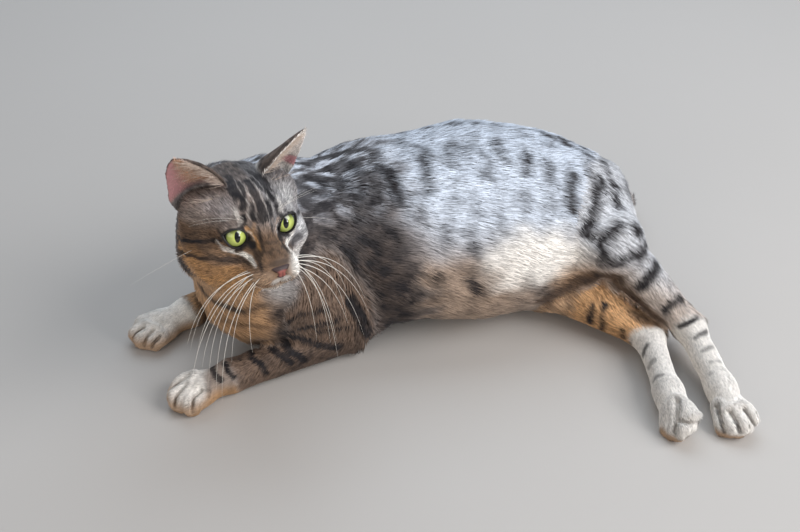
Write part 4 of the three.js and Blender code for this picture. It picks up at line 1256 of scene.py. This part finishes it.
def build_eye(side_name, side):
    """An eyeball with a slightly raised cornea, and the iris's own coordinates on its vertices."""
    mesh = unit_ball("eyeball_" + side_name, 64, 48, Matrix.Rotation(math.pi / 2, 4, "Y"))
    local = read_mesh(mesh)[0]
    left = unit(np.cross([0.0, 0.0, 1.0], GAZE))
    raised = 1 + 0.035 * ramp(math.cos(math.radians(52)), 1.0, local[:, 0])
    ray = local @ np.array([GAZE, left, np.cross(GAZE, left)])
    head = EYE_PLACE * [1, side, 1] + ray * (raised * EYE_RADIUS)[:, None]
    write_places(mesh, from_head(head))
    iris_place = mesh.attributes.new("iris_place", "FLOAT_VECTOR", "POINT")
    iris_place.data.foreach_set("vector", local.astype(np.float32).ravel())
    return mesh


def tube(name, strands, resolution=2, cyclic=False):
    """A mesh of round strands, each given as (points, radii) in the part's frame."""
    curve = bpy.data.curves.new(name, "CURVE")
    curve.dimensions = "3D"
    curve.bevel_depth = 1.0
    curve.bevel_resolution = resolution
    curve.use_fill_caps = True
    for points, radii in strands:
        spline = curve.splines.new("POLY")
        spline.points.add(len(points) - 1)
        spline.points.foreach_set("co", np.c_[points, np.ones(len(points))].ravel())
        spline.points.foreach_set("radius", np.asarray(radii, float))
        spline.use_cyclic_u = cyclic
    worker = bpy.data.objects.new(name, curve)
    mesh = bpy.data.meshes.new_from_object(worker)
    bpy.data.objects.remove(worker)
    mesh.name = name
    return mesh


def lid_rim(side):
    """The dark edge of both lids, thicker at the tear corner, as points and radii."""
    t = np.linspace(0, 2 * math.pi, 96, endpoint=False)
    along = OPENING_MIDDLE + OPENING_HALF * np.cos(t)
    upper, lower = lid_edges(along)
    up = np.where(np.sin(t) >= 0, upper, lower)
    turn = np.radians(np.hypot(along, up))
    around = unit(along[:, None] * OPENING_ALONG + up[:, None] * OPENING_UP)
    ray = np.cos(turn)[:, None] * OPENING_AXIS + np.sin(turn)[:, None] * around
    points = (EYE_PLACE + ray * (EYE_RADIUS + RIM_LIFT)) * [1, side, 1]
    radii = (0.62 + 0.35 * ramp(-30, -62, along) + 0.30 * ramp(20, 52, along)) * MM
    return from_head(points), radii


IN_ROW = 4  # how many places for whiskers there are in a row


def whisker_places():
    """Where the whiskers stand on the left pad, in four rows, in the head's frame."""
    places = []
    for row, height in enumerate((-15.5, -18.0, -20.5, -23.0)):
        for index in range(IN_ROW):
            places.append((48.0 - 3.0 * index - 0.4 * row, 12.0 + 2.1 * index, height))
    return places


def on_skin(head_points):
    """The nearest places of the skin to some head points."""
    tree = BVHTree.FromPolygons(made["skin"]["places"].tolist(), made["skin"]["triangles"].tolist())
    return np.array([tree.find_nearest(place)[0] for place in from_head(head_points).tolist()])


# Per row of whiskers: the length in the head's units, the aim at its start and which of it are grown.
WHISKER_ROWS = [
    (68, (0.02, 0.93, -0.16), (1, 2, 3)),
    (76, (0.06, 0.88, -0.36), (0, 1, 2)),
    (66, (0.14, 0.74, -0.58), (1, 2, 3)),
    (46, (0.22, 0.55, -0.80), (1,)),
]
# The single hairs over the left eye and on its cheek: the root, the aim and the length.
FACE_HAIRS = [
    ((24, 17, 16), (0.25, 0.80, 0.55), 34),
    ((22, 20, 15), (0.1, 0.9, 0.40), 28),
    ((26, 13, 17), (0.4, 0.6, 0.7), 30),
    ((5, 41, -9), (-0.1, 0.95, -0.25), 40),
]


def build_whiskers():
    """Long tapering whiskers from the pads, a few over the eyes and one on each cheek."""
    rng = np.random.default_rng(7)
    strands = []
    roots = to_head(on_skin(whisker_places()))
    for side in (1, -1):
        for place, root in enumerate(roots):
            row, index = divmod(place, IN_ROW)
            length, aim, grown = WHISKER_ROWS[row]
            if index not in grown:
                continue
            length = length * rng.uniform(0.85, 1.12) * (0.72 if index == 0 else 1.0)
            aim = unit(np.array(aim) + rng.normal(0, 0.07, size=3) + [-0.10 * index, 0, 0])
            t = np.linspace(0, 1, 16)[:, None]
            high = side > 0 and row < 2
            length = length * (1.22 if high else 1.0)
            droop = np.array([0.12, -0.30, (-0.44 if high else -0.56) + rng.uniform(-0.08, 0.08)])
            path = root + aim * (length * t - 0.8) + droop * length * t**2
            radii = (0.27 * (1 - t[:, 0]) ** 0.8 + 0.03) * MM
            strands.append((from_head(path * [1, side, 1]), radii))
        for root, aim, length in FACE_HAIRS:
            t = np.linspace(0, 1, 12)[:, None]
            droop = np.array([-0.3, 0.1, -0.35])
            path = np.array(root) + unit(np.array(aim)) * length * t + droop * length * t**2
            strands.append((from_head(path * [1, side, 1]), (0.075 * (1 - t[:, 0]) + 0.02) * MM))
    return tube("whiskers", strands, resolution=1)


def strand_mesh(name, paths, radii, across):
    """Many fine three-sided strands as one mesh. `paths` is strand by point and `across` is by strand."""
    count, steps = paths.shape[:2]
    along = unit(paths[:, -1] - paths[:, 0])
    first = unit(across - (across * along).sum(axis=1, keepdims=True) * along)
    second = np.cross(along, first)
    corners = []
    for turn in (0, 2 * math.pi / 3, 4 * math.pi / 3):
        way = math.cos(turn) * first + math.sin(turn) * second
        corners.append(paths + way[:, None] * radii[None, :, None])
    places = np.stack(corners, axis=2).reshape(-1, 3)
    faces = [[0, 2, 1], [3 * steps - 3, 3 * steps - 2, 3 * steps - 1]]
    for step in range(steps - 1):
        for corner in range(3):
            low, other = 3 * step + corner, 3 * step + (corner + 1) % 3
            faces += [[low, other, other + 3], [low, other + 3, low + 3]]
    triangles = (np.array(faces)[None] + 3 * steps * np.arange(count)[:, None, None]).reshape(-1, 3)
    return mesh_of_triangles(name, places, triangles)


EAR_HAIRS = {"ear_left": 260, "ear_right": 420}
HAIR_STEPS = 6


def build_ear_hairs():
    """The long pale hairs that cross each ear's hollow from its inner edge."""
    rng = np.random.default_rng(23)
    paths, ways = [], []
    for name in EARS:
        root, tip, opening = (np.array(value, float) for value in EARS[name])
        _, _, opening, along, outwards = ear_place(np.zeros((1, 3)), name)
        height = np.linalg.norm(tip - root)
        half = EAR_HALF_WIDTH[name]
        count = EAR_HAIRS[name]
        up = rng.uniform(0.16, 0.85, size=count)
        out = -0.88 + 0.88 * rng.uniform(size=count) ** 2.2
        out = out * (1 - up**1.6) ** 0.65
        start = root + along * (height * up)[:, None] + outwards * (half * out)[:, None] + opening * 3.0
        start = to_head(on_skin(start))
        length = rng.uniform(5, 15, size=count) * (1 - 0.5 * up)
        aim = outwards + along * rng.uniform(0.35, 1.1, size=(count, 1))
        aim = aim + opening * rng.uniform(0.25, 0.7, size=(count, 1))
        aim = unit(aim + rng.normal(0, 0.24, size=(count, 3)))
        t = np.linspace(0, 1, HAIR_STEPS)
        bend = unit(along - 0.6 * opening)
        path = start[:, None] + aim[:, None] * (length[:, None] * t)[:, :, None]
        path = path + bend * (0.22 * length[:, None] * t**2)[:, :, None]
        paths.append(from_head(path.reshape(-1, 3)).reshape(count, HAIR_STEPS, 3))
        ways.append(np.repeat((opening @ HEAD_AXES)[None], count, axis=0))
    radii = (0.13 * (1 - np.linspace(0, 1, HAIR_STEPS)) ** 0.7 + 0.015) * MM
    return strand_mesh("ear_hairs", np.concatenate(paths), radii, np.concatenate(ways))


def build_nose():
    """Nose leather: broad above, narrow below, with comma-shaped nostrils and a middle groove."""
    mesh = unit_ball("nose_leather", 56, 40)
    x, y, z = read_mesh(mesh)[0].T
    front = np.sign(x) * np.abs(x) ** 0.6
    widen = 1 / np.sqrt(1 - 0.70 * np.clip(z, 0, 1) ** 2)
    taper = 0.42 + 0.58 * ramp(-1.0, 0.15, z)
    height = -15.2 + np.where(z > 0, 4.3, 5.5) * z
    head = np.stack([49.0 + 5.3 * front - 0.4 * z, 8.3 * y * taper * widen, height], axis=1)
    folded = mirrored(head)
    nostril = near_line(folded, [(54, 3.9, -16.2), (53.6, 5.4, -15.4), (52.2, 7.2, -14.0)], 1.9)
    middle = near_line(folded, [(55, 0, -14.5), (54, 0, -19), (50, 0, -22)], 1.0)
    rim = ramp(0.42, 0.82, np.hypot(y / 0.85, (z + 0.12) / 0.9))
    head = head - np.array([1.0, 0, 0.1]) * (2.6 * nostril + 0.55 * middle)[:, None]
    write_places(mesh, from_head(head))
    # The nostrils and the middle groove get painted shade. The edge gets a dark rim that is partly the
    # leather's own dark rim and partly painted shade on its sides.
    set_floats(mesh, "hole", np.clip(nostril * 1.3 + 0.4 * middle + 0.95 * rim, 0, 1))
    return mesh


def nose_material():
    """Nose leather with painted shade in its nostrils and middle groove, and a dark edge that is partly
    painted shade on its sides.
    """
    deep, light = colour(128, 70, 62), colour(158, 88, 78)
    material = plain_material("nose_leather", deep, light, 500.0, 0.5, coat=0.08, bump=0.35)
    tree = material.node_tree
    base = tree.nodes["Principled BSDF"].inputs["Base Color"]
    tinted = base.links[0].from_socket
    tree.links.new(mix_colour(tree, attribute(tree, "hole"), tinted, colour(38, 22, 20)), base)
    return material


# ---------------------------------------------------------------- properties
def tone_property(name, description, value):
    return FloatVectorProperty(name=name, description=description, subtype="COLOR", size=4, default=value)


class CatCoatProperties(PropertyGroup):
    density: FloatProperty(
        name="Density", description="Tufts, as a share of the full coat", default=1.0, min=0.05, max=1.0
    )
    seed: IntProperty(name="Seed", description="Seed of the tufts' places", default=11)
    ground: tone_property("Ground", "Grey hair between the stripes", colour(158, 150, 146))
    brown: tone_property("Brown", "Brown-grey hair of the face, arms and lower side", colour(141, 112, 89))
    silver: tone_property("Silver", "Silver hair of the back and flank", colour(204, 211, 222))
    buff: tone_property("Buff", "Golden hair of the throat and inner leg", colour(216, 163, 105))
    pale: tone_property("Pale", "Hair of the paws, pads and belly", colour(240, 234, 226))
    dark: tone_property("Dark", "Hair of the stripes", colour(34, 30, 32))
    skin: tone_property("Skin", "Bare skin inside the ears", colour(200, 142, 146))


class CatEyeProperties(PropertyGroup):
    iris_yellow: tone_property("Iris yellow", "Colour near the iris's fibres", colour(214, 214, 118))
    iris_edge: tone_property("Iris edge", "Colour of the iris's outer part", colour(132, 146, 66))
    iris_green: tone_property("Iris green", "Colour between the iris's fibres", colour(172, 196, 94))


class CatStageProperties(PropertyGroup):
    focal_length: FloatProperty(name="Lens", description="Focal length on a 36 mm wide sensor", default=50.0)
    camera_place: FloatVectorProperty(
        name="Camera place", description="Where the camera stands", subtype="TRANSLATION", unit="LENGTH",
        default=(-0.0237, -0.7732, 0.641),
    )
    camera_tilt: FloatProperty(
        name="Camera tilt", description="Turn from looking straight down", subtype="ANGLE",
        default=math.radians(52.0644),
    )


# ---------------------------------------------------------------- operators
class CAT_OT_skin(Operator):
    """Builds the one skin over all the flesh, with its markings"""

    bl_idname = "cat.skin"
    bl_label = "Skin"

    def execute(self, context):
        made["coat_colour"] = coat_colour_group()
        mesh = build_skin_mesh()
        places, normals, edges = read_mesh(mesh)
        shares = spread(nearest_parts(places)[1], edges, 8)
        mesh.calc_loop_triangles()
        triangles = np.empty(len(mesh.loop_triangles) * 3, np.int64)
        mesh.loop_triangles.foreach_get("vertices", triangles)
        flow = coat_flow(places, normals, shares)
        flow = unit(spread(flow, edges, 25))
        flow = unit(flow - (flow * normals).sum(axis=1, keepdims=True) * normals)
        sizes = shares @ np.stack([part_values(key) for key in ("depth", "length", "width")], axis=1)
        masks = paint(places, normals, shares)
        for column, mask in enumerate(MASKS):
            set_floats(mesh, mask, masks[:, column])
        head = to_head(places)
        _, _, inside, radius = eye_opening(head)
        haired = 1 - ramp(14.0, 11.5, radius) * ramp(-16, -8, inside)
        nose = near_oval(mirrored(head), (51, 0, -15), (8, 9, 8.5), 0.15)
        haired = haired * (1 - nose) * (1 - 0.8 * toe_measures(places, shares)[0])
        haired = haired * (1 - masks[:, MASKS.index("bare")])
        # Near the nose and the eyes the hair is shortest.
        muzzle = 1 - 0.55 * near_oval(mirrored(head), (46, 0, -8), (18, 15, 20), 0.5)
        muzzle = muzzle * (1 - 0.4 * ramp(20, 12, radius))
        sizes = sizes * muzzle[:, None]
        made["skin"] = dict(
            places=places, normals=normals, shares=shares, triangles=triangles.reshape(-1, 3), flow=flow,
            sizes=sizes, haired=haired[:, None],
        )
        shown("skin", mesh, coat_material("skin_coat", False), replaces=FLESH)
        return {"FINISHED"}


class CAT_OT_coat(Operator):
    """Builds the coat's pieces, tuft by tuft, over the skin"""

    bl_idname = "cat.coat"
    bl_label = "Coat"

    def execute(self, context):
        material = coat_material("tufts", True)
        settings = context.scene.cat_coat
        for index, (name, kinds, most, on_face) in enumerate(COAT_PIECES):
            count = int(most * settings.density)
            shown(name, build_coat(name, kinds, count, on_face, settings.seed + index), material)
        return {"FINISHED"}


class CAT_OT_eyes(Operator):
    """Builds both eyeballs and the dark rims of the lids"""

    bl_idname = "cat.eyes"
    bl_label = "Eyes"

    def execute(self, context):
        iris = eye_material()
        rim = plain_material("lid_rim", colour(16, 13, 12), colour(30, 24, 22), 700.0, 0.45, coat=0.1)
        for name, side in (("left", 1), ("right", -1)):
            shown("eyeball_" + name, build_eye(name, side), iris, replaces=["eye_" + name])
            mesh = tube("lid_rim_" + name, [lid_rim(side)], cyclic=True)
            shown("lid_rim_" + name, mesh, rim)
        return {"FINISHED"}


class CAT_OT_nose(Operator):
    """Builds the nose leather"""

    bl_idname = "cat.nose"
    bl_label = "Nose"

    def execute(self, context):
        shown("nose_leather", build_nose(), nose_material(), replaces=["nose"])
        return {"FINISHED"}


class CAT_OT_whiskers(Operator):
    """Builds the whiskers and brow hairs"""

    bl_idname = "cat.whiskers"
    bl_label = "Whiskers"

    def execute(self, context):
        material = plain_material("whisker", colour(238, 234, 226), colour(214, 206, 194), 300.0, 0.35)
        shown("whiskers", build_whiskers(), material)
        cream = plain_material("ear_hair", colour(222, 206, 192), colour(190, 168, 152), 300.0, 0.5)
        shown("ear_hairs", build_ear_hairs(), cream)
        return {"FINISHED"}


FLOOR_HALF = 12.0  # in metres
SENSOR_WIDTH = 36.0  # in millimetres
# The lights: the name, the place, what it shines at, its size, its power and its colour.
LIGHTS = [
    ("window", (1.5, -0.5, 1.3), (0, 0, 0.1), (1.4, 1.2), 36.0, (0.97, 0.98, 1.0)),
    ("sky", (0.0, 1.0, 1.6), (0, 0, 0.1), (2.0, 1.4), 22.0, (0.74, 0.87, 1.0)),
    ("fill", (-0.8, -1.5, 0.9), (0, -0.1, 0.1), (1.4, 1.0), 9.0, (1.0, 0.94, 0.86)),
    ("glint", (1.05, -0.9, 0.46), (-0.15, -0.05, 0.17), (0.20, 0.30), 3.5, (1.0, 1.0, 1.0)),
]


def area_light(name, place, target, size, power, tone):
    light = bpy.data.lights.new(name, "AREA")
    light.shape = "RECTANGLE"
    light.size, light.size_y = size
    light.energy = power
    light.color = tone
    lamp = linked(name, light)
    lamp.location = place
    lamp.rotation_euler = (Vector(target) - Vector(place)).to_track_quat("-Z", "Y").to_euler()


class CAT_OT_stage(Operator):
    """Adds the floor, the lights and the camera"""

    bl_idname = "cat.stage"
    bl_label = "Stage"

    def execute(self, context):
        sheet = bmesh.new()
        bmesh.ops.create_grid(sheet, x_segments=1, y_segments=1, size=FLOOR_HALF)
        mesh = bpy.data.meshes.new("floor")
        sheet.to_mesh(mesh)
        sheet.free()
        floor = linked("floor", mesh)
        mesh.materials.append(plain_material("floor", colour(180, 175, 170), colour(176, 171, 166), 3.0, 0.6))
        for light in LIGHTS:
            area_light(*light)
        world = bpy.data.worlds.new("studio")
        world.use_nodes = True
        background = world.node_tree.nodes["Background"]
        background.inputs["Color"].default_value = (0.9, 0.93, 1.0, 1)
        background.inputs["Strength"].default_value = 0.3
        context.scene.view_settings.view_transform = "Standard"
        context.scene.world = world
        settings = context.scene.cat_stage
        lens = bpy.data.cameras.new("camera")
        lens.lens = settings.focal_length
        lens.sensor_width = SENSOR_WIDTH
        lens.clip_start = 0.01
        camera = linked("camera", lens)
        camera.location = settings.camera_place
        camera.rotation_euler = (settings.camera_tilt, 0, 0)
        context.scene.camera = camera
        return {"FINISHED"}


class CAT_PT_panel(Panel):
    """The cat's makers, in the order in which they run"""

    bl_idname = "CAT_PT_panel"
    bl_label = "Cat"
    bl_space_type = "VIEW_3D"
    bl_region_type = "UI"
    bl_category = "Cat"

    def draw(self, context):
        scene = context.scene
        for settings in (scene.cat_coat, scene.cat_eyes, scene.cat_stage):
            for key in settings.__annotations__:
                self.layout.prop(settings, key)
        for operator in OPERATORS:
            self.layout.operator(operator.bl_idname)


OPERATORS = (CAT_OT_stage, CAT_OT_skin, CAT_OT_eyes, CAT_OT_nose, CAT_OT_whiskers, CAT_OT_coat)
GROUPS = (CatCoatProperties, CatEyeProperties, CatStageProperties)


def register():
    for cls in (*GROUPS, *OPERATORS, CAT_PT_panel):
        bpy.utils.register_class(cls)
    bpy.types.Scene.cat_coat = PointerProperty(type=CatCoatProperties)
    bpy.types.Scene.cat_eyes = PointerProperty(type=CatEyeProperties)
    bpy.types.Scene.cat_stage = PointerProperty(type=CatStageProperties)


def unregister():
    for name in ("cat_coat", "cat_eyes", "cat_stage"):
        delattr(bpy.types.Scene, name)
    for cls in reversed((*GROUPS, *OPERATORS, CAT_PT_panel)):
        bpy.utils.unregister_class(cls)


def main():
    register()
    bpy.ops.cat.stage()
    bpy.ops.cat.skin()
    bpy.ops.cat.eyes()
    bpy.ops.cat.nose()
    bpy.ops.cat.whiskers()
    bpy.ops.cat.coat()


if __name__ == "__main__":
    main()
